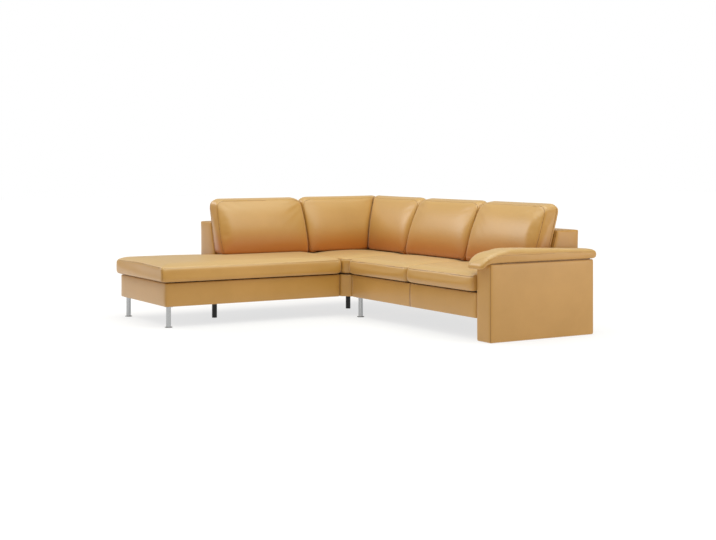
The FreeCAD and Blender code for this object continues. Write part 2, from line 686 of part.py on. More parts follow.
def glide(name, place):
    """A levelling foot: a many-sided disc on a stem that screws up into the leg."""
    wing, x, y = place
    pieces = []
    for part, sides, radius, low, high in (
            ("disc", 24, "footRadius", "0", "footThickness"),
            ("stem", 12, "screwRadius", "footThickness", "footThickness + screwLength")):
        piece = doc.addObject("Part::Prism", f"{name}_{part}")
        piece.Polygon = sides
        bind(piece, "Circumradius", radius)
        bind(piece, "Placement.Base.z", low)
        bind(piece, "Height", f"({high}) - ({low})")
        pieces.append(piece)
    whole = doc.addObject("Part::Fuse", name)
    whole.Base, whole.Tool = pieces
    return settle(whole, name, wing, x, y)


def armBoltSet(name):
    bolts = []
    for number, place in enumerate(armBolts, start=1):
        face = f"({seaterTo} - {halfGap} - {inner})"
        bolt = doc.addObject("Part::Fuse", f"{name}_{number}")
        bolt.Base = rod(f"{name}_head{number}", "Part::Prism", "boltHead",
                        (f"{face} - boltHeadHeight", place, "boltUp"), "boltHeadHeight")
        bolt.Tool = rod(f"{name}_shank{number}", "Part::Cylinder", "boltRadius",
                        (face, place, "boltUp"), f"{inner} + {halfGap} + armSkin + boltHold - boltPlay")
        bolts.append(bolt)
    return settle(group(name, bolts), name)


def linkPlates(name):
    """Flat plates that bridge the joints between the units from below, near the back and the front."""
    plates = []
    z = ("baseUnderside - plateThickness", "baseUnderside")
    for number, depth in enumerate(plateDepths, start=1):
        across = ("cornerWidth - plateLength / 2", "cornerWidth + plateLength / 2")
        back = (f"-({depth} + plateWidth / 2)", f"-({depth} - plateWidth / 2)")
        plates.append(board(f"{name}_right{number}", across, back, z))
        side = (f"{depth} - plateWidth / 2", f"{depth} + plateWidth / 2")
        along = ("-(cornerWidth + plateLength / 2)", "-(cornerWidth - plateLength / 2)")
        plates.append(board(f"{name}_left{number}", side, along, z))
    return settle(group(name, plates), name)


# Lounge unit
def loungePlan(inset):
    return unitOutline(loungeFrom, loungeTo, inset)


def seaterPlan(inset):
    return unitOutline(seaterFrom, seaterTo, inset)


def clothPlan(plan, blocked):
    """Outline of the cloth under a base, stepped round the corner blocks that carry legs."""
    corners = plan(f"({inner} - clothLap)")
    steps = plan(f"({inner} + blockSide - clothLap)")
    shape = []
    for number, corner in enumerate(corners):
        if number not in blocked:
            shape.append(corner)
            continue
        step = steps[blocked[number]]
        before, after = corners[number - 1], corners[(number + 1) % len(corners)]
        first = (corner[0], step[1]) if before[0] == corner[0] else (step[0], corner[1])
        last = (corner[0], step[1]) if after[0] == corner[0] else (step[0], corner[1])
        shape += [first, step, last]
    return shape


def legOpening(place):
    """Opening in a cloth for the plate of a leg."""
    half = "(legPlateSide / 2 + screwPlay)"
    wing, x, y = place
    return rectangle(f"{x} - {half}", f"{x} + {half}", f"{y} - {half}", f"{y} + {half}")


baseCover("lounge_base_cover", "left", loungePlan)
straightFrame("lounge_base_frame", "left", loungeFrom, loungeTo, "-loungeBeam")
webbing("lounge_webbing", "left", f"{loungeFrom} + {inner}", f"{loungeTo} - {inner}",
        "unitDepth - baseSkin - unitGap")
slab("lounge_underside_cloth", "left", clothPlan(loungePlan, {0: 0, 3: 3}), "baseUnderside",
     "clothThickness", legOpening(blackLegs["lounge"]))
deckFront = "-(unitDepth - deckInset)"
deckStart = f"{loungeFrom} + deckInset"
deckEnd = f"{loungeTo} - deckInset"
deckStep = f"{openEnd} - deckInset"
slab("lounge_seat_deck", "left",
     [(deckStart, deckFront), (deckEnd, deckFront), (deckEnd, f"-{seatRear}"),
      (deckStep, f"-{seatRear}"), (deckStep, "-deckInset"), (deckStart, "-deckInset")],
     "baseTop", "deckThickness")
seatCushion("lounge_seat_cushion", "left", f"{loungeFrom} - seatEndOverhang",
            f"{loungeTo} - cushionGap", rear="restGap", notch=f"{openEnd} - cushionGap")
straightBack("lounge_back_cover", "left", openEnd, loungeTo)
backFrame("lounge_back_frame", "left", openEnd, loungeTo)
backCushion("lounge_back_cushion", "left", f"{openEnd} + cushionGap", f"{loungeTo} - cushionGap")

# Corner unit
baseCover("corner_base_cover", "right", cornerOutline)
cornerFrame("corner_base_frame")
webbing("corner_webbing", "right", inner, cornerOutline(inner)[2][0],
        f"cornerWidth - {halfGap} - baseSkin - unitGap")
slab("corner_underside_cloth", "right", clothPlan(cornerOutline, {0: 0}), "baseUnderside",
     "clothThickness", legOpening(blackLegs["corner"]))
cornerDeck = cornerOutline("deckInset")
slab("corner_seat_deck", "right",
     [(seatRear, f"-{seatRear}"), (seatRear, cornerDeck[1][1]), cornerDeck[2], cornerDeck[3],
      (cornerDeck[4][0], f"-{seatRear}")], "baseTop", "deckThickness")
cornerSeatEnd = "(cornerWidth - cushionGap)"
seatCushion("corner_seat_cushion", "right", seatRear, cornerSeatEnd,
            front="(cornerWidth - cushionGap - seatBelly)", frontSoft="seatSoft",
            slant="(cornerWidth - cornerChamfer + sqrt(2) * cornerOverhang)")
cornerBack("corner_back_cover")
backFrame("corner_back_frame_left", "left", "-cornerWidth", "0")
backFrame("corner_back_frame_right", "right", "backFootDepth - backSkin", "cornerWidth")
backCushion("corner_back_cushion_left", "left", "-cornerWidth + cushionGap", "0", mitre="end")
backCushion("corner_back_cushion_right", "right", "0", "cornerWidth - cushionGap", mitre="start")

# Two-seater unit
baseCover("seater_base_cover", "right", seaterPlan, boltHoles=True, seam=True)
straightFrame("seater_base_frame", "right", seaterFrom, seaterTo, seatSplit, bolted=True)
webbing("seater_webbing", "right", f"{seaterFrom} + {inner}", f"{seaterTo} - {inner}",
        "unitDepth - baseSkin - unitGap")
slab("seater_underside_cloth", "right", clothPlan(seaterPlan, {0: 0, 3: 3}), "baseUnderside",
     "clothThickness")
slab("seater_seat_deck", "right",
     rectangle(f"{seaterFrom} + deckInset", f"{seaterTo} - deckInset", deckFront, f"-{seatRear}"),
     "baseTop", "deckThickness")
seatCushion("seater_seat_cushion_left", "right", f"{seaterFrom} + cushionGap", f"{seatSplit} - cushionGap")
seatCushion("seater_seat_cushion_right", "right", f"{seatSplit} + cushionGap", f"{seaterTo} - cushionGap")
straightBack("seater_back_cover", "right", seaterFrom, seaterTo)
backFrame("seater_back_frame", "right", seaterFrom, seaterTo)
backCushion("seater_back_cushion_left", "right", f"{seaterFrom} + cushionGap", f"{seatSplit} - cushionGap")
backCushion("seater_back_cushion_right", "right", f"{seatSplit} + cushionGap",
            f"{seaterTo} - pillowArmGap")

# Arm
armCover("arm_cover")
armCore("arm_core")
armPad("arm_pad")
slab("arm_pad_board", "right",
     rectangle(f"{seaterTo} + {padSide[0]}", f"{seaterTo} + {padSide[1]}", f"-({padRun[0]})",
               f"-({padRun[1]})"), "armHeight", "padBoardHeight")
armBoltSet("arm_bolts")
padsUnder = [board(f"arm_glider{number}",
                   ("armThickness / 2 - gliderSide / 2", "armThickness / 2 + gliderSide / 2"),
                   (f"{place} - gliderSide / 2", f"{place} + gliderSide / 2"), ("0", "gliderHeight"))
             for number, place in enumerate(armBolts, start=1)]
settle(group("arm_gliders", padsUnder), "arm_gliders", x=seaterTo)

# Legs and their fixings
for label, place in chromeLegs.items():
    leg(f"leg_{label}", place, "legRadius", "footThickness + footGap", cavity=True)
    glide(f"glide_{label}", place)
for label, place in blackLegs.items():
    leg(f"support_leg_{label}", place, "supportRadius", "0", cavity=False)
linkPlates("link_plates")

doc.recompute()
for item in doc.Objects:
    if "Invalid" in item.State or "Error" in item.State:
        raise RuntimeError(f"{item.Label} is in state {item.State}")
for item in subparts:
    if item.Shape.isNull() or not item.Shape.isValid() or not item.Shape.Solids:
        raise RuntimeError(f"{item.Label} has no valid solid")

os.makedirs("parts", exist_ok=True)
for item in subparts:
    item.Shape.exportStep(os.path.join("parts", item.Label + ".step"))
print(f"{len(subparts)} sub-parts written")
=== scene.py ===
import json
import math

import bpy
import numpy as np
from mathutils import Matrix, Vector

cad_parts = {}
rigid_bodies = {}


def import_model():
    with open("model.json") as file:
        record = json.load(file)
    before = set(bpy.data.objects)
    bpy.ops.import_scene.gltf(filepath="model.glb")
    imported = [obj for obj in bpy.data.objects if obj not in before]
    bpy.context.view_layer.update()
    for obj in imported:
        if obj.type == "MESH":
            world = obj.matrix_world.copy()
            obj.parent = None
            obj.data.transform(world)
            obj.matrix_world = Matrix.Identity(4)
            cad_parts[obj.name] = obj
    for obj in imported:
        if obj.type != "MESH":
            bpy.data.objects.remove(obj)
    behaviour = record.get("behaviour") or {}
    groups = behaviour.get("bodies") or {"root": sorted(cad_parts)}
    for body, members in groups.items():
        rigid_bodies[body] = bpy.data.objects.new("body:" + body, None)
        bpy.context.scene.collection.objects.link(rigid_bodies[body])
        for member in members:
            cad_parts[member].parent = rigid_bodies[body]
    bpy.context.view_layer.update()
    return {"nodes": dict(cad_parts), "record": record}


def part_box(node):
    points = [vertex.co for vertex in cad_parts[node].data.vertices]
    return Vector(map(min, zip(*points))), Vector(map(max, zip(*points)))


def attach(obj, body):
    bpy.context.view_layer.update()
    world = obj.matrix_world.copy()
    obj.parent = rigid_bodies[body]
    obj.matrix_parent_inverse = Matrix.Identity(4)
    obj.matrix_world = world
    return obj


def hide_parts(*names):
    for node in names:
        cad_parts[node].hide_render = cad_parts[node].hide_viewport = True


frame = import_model()
scene = bpy.context.scene
mm = 0.001
hair = 0.0001  # metres, for places that have to be the same

# The sofa stands in two wings that meet in the outer back corner. Each wing has a frame of its own,
# x along the wing and y = -depth from the outer back face. The left wing is turned a quarter, so its x
# counts down from 0. Work lies flat, in its wing's own frame, until it is stood in its wing.
outerCorner = Vector((-1334.5, 1174.0, 0)) * mm
wings = {
    "right": Matrix.Translation(outerCorner),
    "left": Matrix.Translation(outerCorner) @ Matrix.Rotation(math.radians(90), 4, "Z"),
    "flat": Matrix.Identity(4),
}
# Sizes in millimetres, here and in the settings of every piece. gap is the space between two units on
# each side of their joint, and between the one between two cushions.
sofa = {
    "depth": 870, "corner": 930, "chamfer": 59.7, "gap": 0.3, "between": 1.2,
    "loungeEnd": -2343, "openEnd": -1689, "seaterEnd": 2504, "seatSplit": 1717,
    "baseLow": 147, "baseHigh": 313, "backFoot": 262, "backHead": 190, "backBend": 450, "backHigh": 700,
    "armWide": 153, "armLow": 3, "armHigh": 507,
}


# Helpers for selecting, shaping and applying

def only(piece):
    bpy.ops.object.select_all(action="DESELECT")
    piece.select_set(True)
    bpy.context.view_layer.objects.active = piece


def edit(piece):
    only(piece)
    bpy.ops.object.mode_set(mode="EDIT")


def leave():
    bpy.ops.object.mode_set(mode="OBJECT")


def applyAll(piece):
    only(piece)
    for modifier in list(piece.modifiers):
        bpy.ops.object.modifier_apply(modifier=modifier.name)


def pick(piece, kind, wanted):
    # leaves only those faces, edges or corners selected for which wanted(middle, direction) is true;
    # a direction is one long, so over 0.9 it runs along an axis and under 0.1 across it
    bpy.ops.mesh.select_mode(type=kind)
    bpy.ops.mesh.select_all(action="DESELECT")
    leave()
    mesh = piece.data
    if kind == "FACE":
        for face in mesh.polygons:
            face.select = bool(wanted(face.center, face.normal))
    elif kind == "EDGE":
        for edge in mesh.edges:
            a, b = (mesh.vertices[i].co for i in edge.vertices)
            edge.select = bool(wanted((a + b) / 2, (b - a).normalized()))
    else:
        for corner in mesh.vertices:
            corner.select = bool(wanted(corner.co, corner.normal))
    bpy.ops.object.mode_set(mode="EDIT")


def near(a, b, slack=0.0015):
    return abs(a - b) < slack


def read(mesh, what):
    values = np.zeros(len(mesh.vertices) * 3)
    mesh.vertices.foreach_get(what, values)
    return values.reshape(-1, 3)


def write(mesh, places):
    mesh.vertices.foreach_set("co", places.ravel())
    mesh.update()


def mark(piece, name, values):
    # a number on every corner of the mesh, for the material to read
    layer = piece.data.attributes.get(name) or piece.data.attributes.new(name, "FLOAT", "POINT")
    layer.data.foreach_set("value", np.asarray(values, np.float32))


def block(name, x, y, z):
    # a box between pairs of limits
    bpy.ops.object.select_all(action="DESELECT")
    bpy.ops.mesh.primitive_cube_add(size=1, location=[sum(pair) / 2 * mm for pair in (x, y, z)],
                                    scale=[(pair[1] - pair[0]) * mm for pair in (x, y, z)])
    piece = bpy.context.object
    piece.name = piece.data.name = name
    bpy.ops.object.transform_apply(location=True, rotation=True, scale=True)
    return piece


def divide(axis, low, high, step):
    # even cuts across one axis of the piece that is being edited
    count = max(1, round((high - low) / step))
    across = Vector([float(i == axis) for i in range(3)])
    for number in range(1, count):
        bpy.ops.mesh.select_all(action="SELECT")
        bpy.ops.mesh.bisect(plane_co=across * (low + (high - low) * number / count) * mm, plane_no=across)


def standOn(piece, wing):
    # from the wing's frame to its place on the sofa
    piece.matrix_world = wings[wing]
    only(piece)
    bpy.ops.object.transform_apply(location=True, rotation=True, scale=True)


def smoothShade(piece, angle=40):
    only(piece)
    bpy.ops.object.shade_smooth_by_angle(angle=math.radians(angle))


def finishPiece(piece, finish, nodes=(), body="sofa"):
    piece.data.materials.clear()
    piece.data.materials.append(finish)
    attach(piece, body)
    if nodes:
        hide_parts(*nodes)


# Materials

def linear(code):
    # an sRGB hex colour as linear light
    parts = [int(code[i:i + 2], 16) / 255 for i in (1, 3, 5)]
    return [p / 12.92 if p <= 0.04045 else ((p + 0.055) / 1.055) ** 2.4 for p in parts] + [1]


def node(material, kind, inputs=(), **settings):
    made = material.node_tree.nodes.new("ShaderNode" + kind)
    for key, setting in settings.items():
        setattr(made, key, setting)
    for socket, source in dict(inputs).items():
        if isinstance(source, bpy.types.NodeSocket):
            material.node_tree.links.new(source, made.inputs[socket])
        else:
            made.inputs[socket].default_value = source
    return made


def emptyMaterial(name):
    material = bpy.data.materials.new(name)
    material.use_nodes = True
    material.node_tree.nodes.clear()
    return material


# Honey tan hide, aniline dyed and lightly finished: a soft satin surface with a fine pebbled grain and a slow
# drift of colour over each skin. Over that the colour holds painted shade as darker lines along the seams,
# painted light as a paler tone on the upward faces, and painted shade as a deeper orange low down on the back
# cushions. The widths of its patterns and the depths of their relief are in millimetres.
leather = {
    "light": "#BE8D42", "deep": "#B6863A", "seam": "#5A2808", "topLightTone": "#CBA668", "lowShadeTone": "#B26820",
    "drift": 350, "driftFrom": 0.35, "driftTo": 0.65, "creases": 60, "creaseDeep": 1.5,
    "pores": 3.5, "poreEdge": 0.5, "poreShade": 0.06, "poreDeep": 0.2,
    "rough": 0.38, "roughDrift": 0.05, "bloom": 0.35, "bloomColor": "#FFF6E6", "finish": 0.25,
}


def makeLeather(name, settings):
    material = emptyMaterial(name)
    place = node(material, "TexCoord").outputs["Object"]
    drift = node(material, "TexNoise", {"Vector": place, "Scale": 1 / (settings["drift"] * mm), "Detail": 4,
                                        "Roughness": 0.6})
    spread = node(material, "MapRange", {"Value": drift.outputs["Fac"], "From Min": settings["driftFrom"],
                                         "From Max": settings["driftTo"]})
    color = node(material, "Mix", {0: spread.outputs["Result"], 6: linear(settings["deep"]),
                                   7: linear(settings["light"])}, data_type="RGBA")
    # the pores are drawn about twice as coarse as real ones, which would be lost in the picture
    pores = node(material, "TexVoronoi", {"Vector": place, "Scale": 1 / (settings["pores"] * mm)})
    shade = node(material, "MapRange", {"Value": pores.outputs["Distance"], "From Min": 0.0,
                                        "From Max": settings["poreEdge"], "To Min": settings["poreShade"],
                                        "To Max": 0.0})
    # each layer over the last: how much of it there is, and its colour
    paintedTopLight = node(material, "Attribute", attribute_name="paintedTopLight")
    paintedLowShade = node(material, "Attribute", attribute_name="paintedLowShade")
    seamShade = node(material, "Attribute", attribute_name="seamShade")
    # painted light on the upward faces, painted shade low on the back cushions, the darker pores of the
    # grain, and painted shade along the seams
    layers = [(paintedTopLight.outputs["Fac"], "topLightTone"), (paintedLowShade.outputs["Fac"], "lowShadeTone"),
              (shade.outputs["Result"], "seam"), (seamShade.outputs["Fac"], "seam")]
    for amount, tone in layers:
        color = node(material, "Mix", {0: amount, 6: color.outputs[2], 7: linear(settings[tone])},
                     data_type="RGBA")
    rough = node(material, "MapRange", {"Value": drift.outputs["Fac"],
                                        "To Min": settings["rough"] - settings["roughDrift"],
                                        "To Max": settings["rough"] + settings["roughDrift"]})
    creases = node(material, "TexNoise", {"Vector": place, "Scale": 1 / (settings["creases"] * mm),
                                          "Detail": 5, "Roughness": 0.55, "Distortion": 0.4})
    low = node(material, "Bump", {"Height": creases.outputs["Fac"], "Strength": 0.25,
                                  "Distance": settings["creaseDeep"] * mm})
    high = node(material, "Bump", {"Height": pores.outputs["Distance"], "Strength": 0.3,
                                   "Distance": settings["poreDeep"] * mm, "Normal": low.outputs["Normal"]})
    shader = node(material, "BsdfPrincipled", {
        "Base Color": color.outputs[2], "Roughness": rough.outputs["Result"],
        "Normal": high.outputs["Normal"], "Sheen Weight": settings["bloom"], "Sheen Roughness": 0.4,
        "Sheen Tint": linear(settings["bloomColor"]), "Coat Weight": settings["finish"],
        "Coat Roughness": 0.3})
    node(material, "OutputMaterial", {"Surface": shader.outputs["BSDF"]})
    return material


def makeGrained(name, settings):
    # a plain finish broken up by a noise of one size, stretched along the grain
    material = emptyMaterial(name)
    place = node(material, "TexCoord").outputs["Object"]
    turned = node(material, "Mapping", {"Vector": place, "Scale": settings.get("stretch", (1, 1, 1))})
    grain = node(material, "TexNoise", {"Vector": turned.outputs["Vector"],
                                        "Scale": 1 / (settings["grain"] * mm), "Detail": 6,
                                        "Roughness": 0.6})
    shade = node(material, "Mix", {0: grain.outputs["Fac"], 6: linear(settings["deep"]),
                                   7: linear(settings["light"])}, data_type="RGBA")
    rough = node(material, "MapRange", {"Value": grain.outputs["Fac"],
                                        "To Min": settings["rough"] * (1 - roughSwing),
                                        "To Max": min(1, settings["rough"] * (1 + roughSwing))})
    relief = node(material, "Bump", {"Height": grain.outputs["Fac"], "Strength": 0.4,
                                     "Distance": settings["relief"] * mm})
    shader = node(material, "BsdfPrincipled", {
        "Base Color": shade.outputs[2], "Roughness": rough.outputs["Result"],
        "Normal": relief.outputs["Normal"], "Metallic": settings.get("metallic", 0.0)})
    node(material, "OutputMaterial", {"Surface": shader.outputs["BSDF"]})
    return material


hide = makeLeather("Honey tan leather", leather)
# the same hide cut in strips and sewn round a cord: drawn darker, as painted shade along the seams, and
# duller
shadedWeltHide = makeLeather("Honey tan leather, welts",
                     {**leather, "light": "#A06A2C", "deep": "#935F24", "bloom": 0.1})
roughSwing = 0.2  # how far the roughness of the plainer finishes goes up and down with their grain
# pine boards, sawn and left bare: dull and pale, with the darker grain drawn out along the board
pine = makeGrained("Sawn pine", {
    "light": "#C8A273", "deep": "#A87E4E", "rough": 0.7, "grain": 12, "relief": 0.4, "stretch": (1, 1, 0.15)})
# rubber and polypropylene, woven to a strap: near black and dull; the weave, finer than it shows, is drawn
# coarse
elastic = makeGrained("Elastic webbing", {
    "light": "#2B2A2A", "deep": "#151414", "rough": 0.85, "grain": 3, "relief": 0.4})
# cotton, plain woven: brown and without shine; its threads of half a millimetre are drawn four times as wide
deckCloth = makeGrained("Brown lining cloth", {
    "light": "#6B482A", "deep": "#52351D", "rough": 0.9, "grain": 2, "relief": 0.3})
# polypropylene fibres, spun and pressed to a felt: black, without shine, the fibres drawn as small clumps
spunCloth = makeGrained("Black spunbonded cloth", {
    "light": "#1B1B1B", "deep": "#101010", "rough": 0.95, "grain": 3, "relief": 0.2})
# steel tube, polished and plated: a bright mirror, blurred a little by wiping
chromed = makeGrained("Chrome plated steel", {
    "light": "#B4B5B6", "deep": "#A9AAAB", "rough": 0.2, "grain": 30, "relief": 0.02, "metallic": 1.0})
# steel, sprayed with powder and baked: satin black with a fine orange peel
blackCoat = makeGrained("Black powder coat", {
    "light": "#141414", "deep": "#0A0A0A", "rough": 0.45, "grain": 2, "relief": 0.08})
# pressed steel, zinc plated: light grey, half dull and a little cloudy
zincCoat = makeGrained("Zinc plated steel", {
    "light": "#A9A9A6", "deep": "#8D8D8B", "rough": 0.38, "grain": 10, "relief": 0.04, "metallic": 1.0})
# polypropylene, injection moulded: black and half matt, from the mould's fine texture
blackMoulded = makeGrained("Moulded polypropylene", {
    "light": "#1A1A1B", "deep": "#111112", "rough": 0.5, "grain": 2, "relief": 0.05})
print("materials made")


# The timber, metal and plastic that the CAD already has in their right shape
carried = {
    "timber": pine, "chrome": chromed, "black_metal": blackCoat, "zinc": zincCoat,
    "black_plastic": blackMoulded,
}
for row in frame["record"]["subparts"]:
    finish = carried.get(row["material_slot"])
    if finish:
        mesh = frame["nodes"][row["node"]].data
        mesh.materials.clear()
        mesh.materials.append(finish)
print("carried-over pieces finished")


# Soft work: a closed leather shell over its filling

# fade is how far in from what holds it a shell gets free, held the share of freedom that pins it
simulation = {"frames": 12, "pressure": 4.0, "quality": 4, "mass": 0.3, "fade": 45, "held": 0.02,
              "calm": 10, "even": 0.5, "quickShare": 0.8}
# how far each kind of seam is drawn in, how dark the painted shade along its line is, and how thick its cord
# (0 for none)
seamKinds = {
    "edge": {"inward": 2.6, "shade": 0.75, "cord": 1.5},
    "faint": {"inward": 1.0, "shade": 0.25, "cord": 0},
    "pad": {"inward": 1.0, "shade": 0.35, "cord": 0},
    "panel": {"inward": 1.6, "shade": 0.75, "cord": 1.0},
    "arm": {"inward": 1.8, "shade": 0.75, "cord": 1.0},
}


def ramp(distance, width):
    share = np.clip(distance / width, 0, 1)
    return share * share * (3 - 2 * share)


def facingUp(piece, full=0.9):
    # from 0 on upright faces and undersides to 1 on level tops
    return ramp(np.maximum(read(piece.data, "normal")[:, 2], 0), full)


def puff(piece, free, slack, cap):
    # the shell drawn in a little and then blown out by its filling, where it is free to move
    mesh = piece.data
    start = read(mesh, "co") - read(mesh, "normal") * (free * slack * mm)[:, None]
    write(mesh, start)
    still = piece.vertex_groups.new(name="still")
    still.add([int(i) for i in np.flatnonzero(free < simulation["held"])], 1, "REPLACE")
    only(piece)
    bpy.ops.object.modifier_add(type="CLOTH")
    cloth = piece.modifiers[-1]
    cloth.settings.quality = simulation["quality"]
    cloth.settings.mass = simulation["mass"]
    cloth.settings.use_pressure = True
    cloth.settings.uniform_pressure_force = simulation["pressure"]
    cloth.settings.effector_weights.gravity = 0
    cloth.settings.vertex_group_mass = "still"
    cloth.point_cache.frame_end = simulation["frames"]
    for number in range(1, simulation["frames"] + 1):
        scene.frame_set(number)
    bpy.ops.object.modifier_apply(modifier=cloth.name)
    scene.frame_set(1)
    piece.vertex_groups.clear()
    # no corner goes further than the cap; the tiny lengths keep the divisions from meeting a zero
    moved = read(mesh, "co") - start
    far = np.linalg.norm(moved, axis=1)
    reach = np.maximum(free * cap * mm, 1e-6)
    write(mesh, start + moved * (reach * np.tanh(far / reach) / np.maximum(far, 1e-9))[:, None])
    calm = piece.modifiers.new("Calm", "SMOOTH")
    calm.factor = simulation["even"]
    calm.iterations = simulation["calm"]
    applyAll(piece)


def sew(piece, wing, seam, kind):
    # a new line of stitches where a plane meets the shell, drawn in; its cord is a piece of its own
    work = seamKinds[kind]
    point, across = (Vector(v) for v in seam[:2])
    where = seam[2] if len(seam) > 2 else None
    toWing = wings[wing].inverted()
    edit(piece)
    pick(piece, "FACE", (lambda c, n: where(toWing @ c / mm, toWing.to_3x3() @ n)) if where
         else (lambda c, n: True))
    bpy.ops.mesh.bisect(plane_co=wings[wing] @ (point * mm), plane_no=wings[wing].to_3x3() @ across)
    bpy.ops.transform.shrink_fatten(value=-work["inward"] * mm)
    leave()
    mesh = piece.data
    marked = np.zeros(len(mesh.vertices), bool)
    mesh.vertices.foreach_get("select", marked)
    # painted shade: the corners on the line of stitches are darkened by their kind's amount
    shade = np.zeros(len(mesh.vertices), np.float32)
    if "seamShade" in mesh.attributes:
        mesh.attributes["seamShade"].data.foreach_get("value", shade)
    shade[marked] = work["shade"]
    mark(piece, "seamShade", shade)
    if not work["cord"]:
        return None
    bpy.ops.object.mode_set(mode="EDIT")
    bpy.ops.mesh.duplicate()
    before = set(bpy.data.objects)
    bpy.ops.mesh.separate(type="SELECTED")
    leave()
    return (set(bpy.data.objects) - before).pop()


def makeWelt(piece, lines, kind):
    # the corded edge in each seam
    for line in lines:
        only(line)
        bpy.ops.object.convert(target="CURVE")
        line.data.bevel_depth = seamKinds[kind]["cord"] * mm
        line.data.bevel_resolution = 1
        bpy.ops.object.convert(target="MESH")
    bpy.ops.object.select_all(action="DESELECT")
    for line in lines:
        line.select_set(True)
    bpy.context.view_layer.objects.active = lines[0]
    if len(lines) > 1:
        bpy.ops.object.join()
    welt = bpy.context.object
    welt.name = welt.data.name = piece.name + "Welt"
    if "seamShade" in welt.data.attributes:
        welt.data.attributes.remove(welt.data.attributes["seamShade"])
    smoothShade(welt, angle=80)
    finishPiece(welt, shadedWeltHide)


def softShell(settings):
    # the filled form of one CAD cushion as an even shell
    source = frame["nodes"][settings["node"]]
    shell = bpy.data.objects.new(settings["name"], source.data.copy())
    scene.collection.objects.link(shell)
    shell.data.name = settings["name"]
    edit(shell)
    bpy.ops.mesh.select_all(action="SELECT")
    bpy.ops.mesh.remove_doubles(threshold=0.0002)
    leave()
    even = shell.modifiers.new("Even", "REMESH")
    even.mode = "VOXEL"
    even.voxel_size = settings["voxel"] * mm
    soft = shell.modifiers.new("Soft", "SMOOTH")
    soft.factor = simulation["even"]
    soft.iterations = settings["soften"]
    applyAll(shell)
    return shell


def makeFiner(piece):
    finer = piece.modifiers.new("Finer", "SUBSURF")
    finer.levels = finer.render_levels = 1
    applyAll(piece)


def inWing(piece, wing):
    # where every corner of the mesh is in the wing's frame, in millimetres
    places = read(piece.data, "co")
    return (np.c_[places, np.ones(len(places))] @ np.array(wings[wing].inverted()).T)[:, :3] / mm


def sinkCorners(shell, settings):
    # the lower corners sink between the seat cushions, where their ends are lower
    local = inWing(shell, settings["wing"])
    close = np.max([1 - ramp(np.abs(local[:, 0] - end) - settings["sinkIn"], settings["sinkWide"])
                    for end in settings["ends"]], axis=0)
    sink = close * (1 - ramp(local[:, 2] - settings["foot"], settings["sinkHigh"])) * settings["sink"]
    write(shell.data, read(shell.data, "co") - np.outer(sink * mm, (0, 0, 1)))


def squareEnd(shell, settings):
    # at the open end the rear edge is square against the back, not rounded
    local, side = inWing(shell, settings["wing"]), settings["open"]
    limit = (local[:, 0] * side).max()
    point, across = settings["rear"]
    away = np.array(Vector(across).normalized())
    soft = settings["round"]
    deep = np.clip(-(local - np.array(point)) @ away, 0, soft)
    inset = soft - np.sqrt(soft ** 2 - (soft - deep) ** 2)
    close = 1 - ramp(limit - local[:, 0] * side, settings["squareWide"])
    shift = np.outer(side * inset * close * settings["square"] * mm, (1, 0, 0))
    turn = np.array(wings[settings["wing"]].to_3x3()).T
    write(shell.data, read(shell.data, "co") + shift @ turn)


def makeCushion(settings):
    wing = settings["wing"]
    shell = softShell(settings)
    # free to swell away from what the cushion touches, held in along its seams
    local = inWing(shell, wing)
    free = np.ones(len(local))
    for point, across in settings["touches"]:
        away = np.array(Vector(across).normalized())
        free *= ramp(np.abs((local - np.array(point)) @ away) - settings["voxel"], simulation["fade"])
    for seam in settings["seams"]:
        away = np.array(Vector(seam[1]).normalized())
        line = ramp(np.abs((local - np.array(seam[0])) @ away), settings["seamFade"])
        free *= settings["seamGive"] + (1 - settings["seamGive"]) * line
    puff(shell, free, settings["slack"], settings["cap"])
    if "foot" in settings:
        sinkCorners(shell, settings)
    if "open" in settings:
        squareEnd(shell, settings)
    makeFiner(shell)
    lines = [sew(shell, wing, seam, "edge") for seam in settings["seams"]]
    for seam in settings.get("faint", []):
        sew(shell, wing, seam, "faint")
    # painted light: the upward faces are drawn paler
    up = facingUp(shell)
    mark(shell, "paintedTopLight", up * settings["topLight"])
    # painted shade: low on the back cushions the colour goes a deeper orange, fading out with height
    if "foot" in settings:
        height = inWing(shell, wing)[:, 2] - settings["foot"]
        mark(shell, "paintedLowShade", (1 - ramp(height, settings["shade"])) * (1 - up))
    smoothShade(shell, angle=70)
    finishPiece(shell, hide, [settings["node"]])
    makeWelt(shell, lines, "edge")
    print("cushion", settings["name"], len(shell.data.vertices))


def onFront(c, n):
    # the front of a seat cushion, in its wing's frame
    return n.y < -seat["turn"] and c.y < -seat["front"]
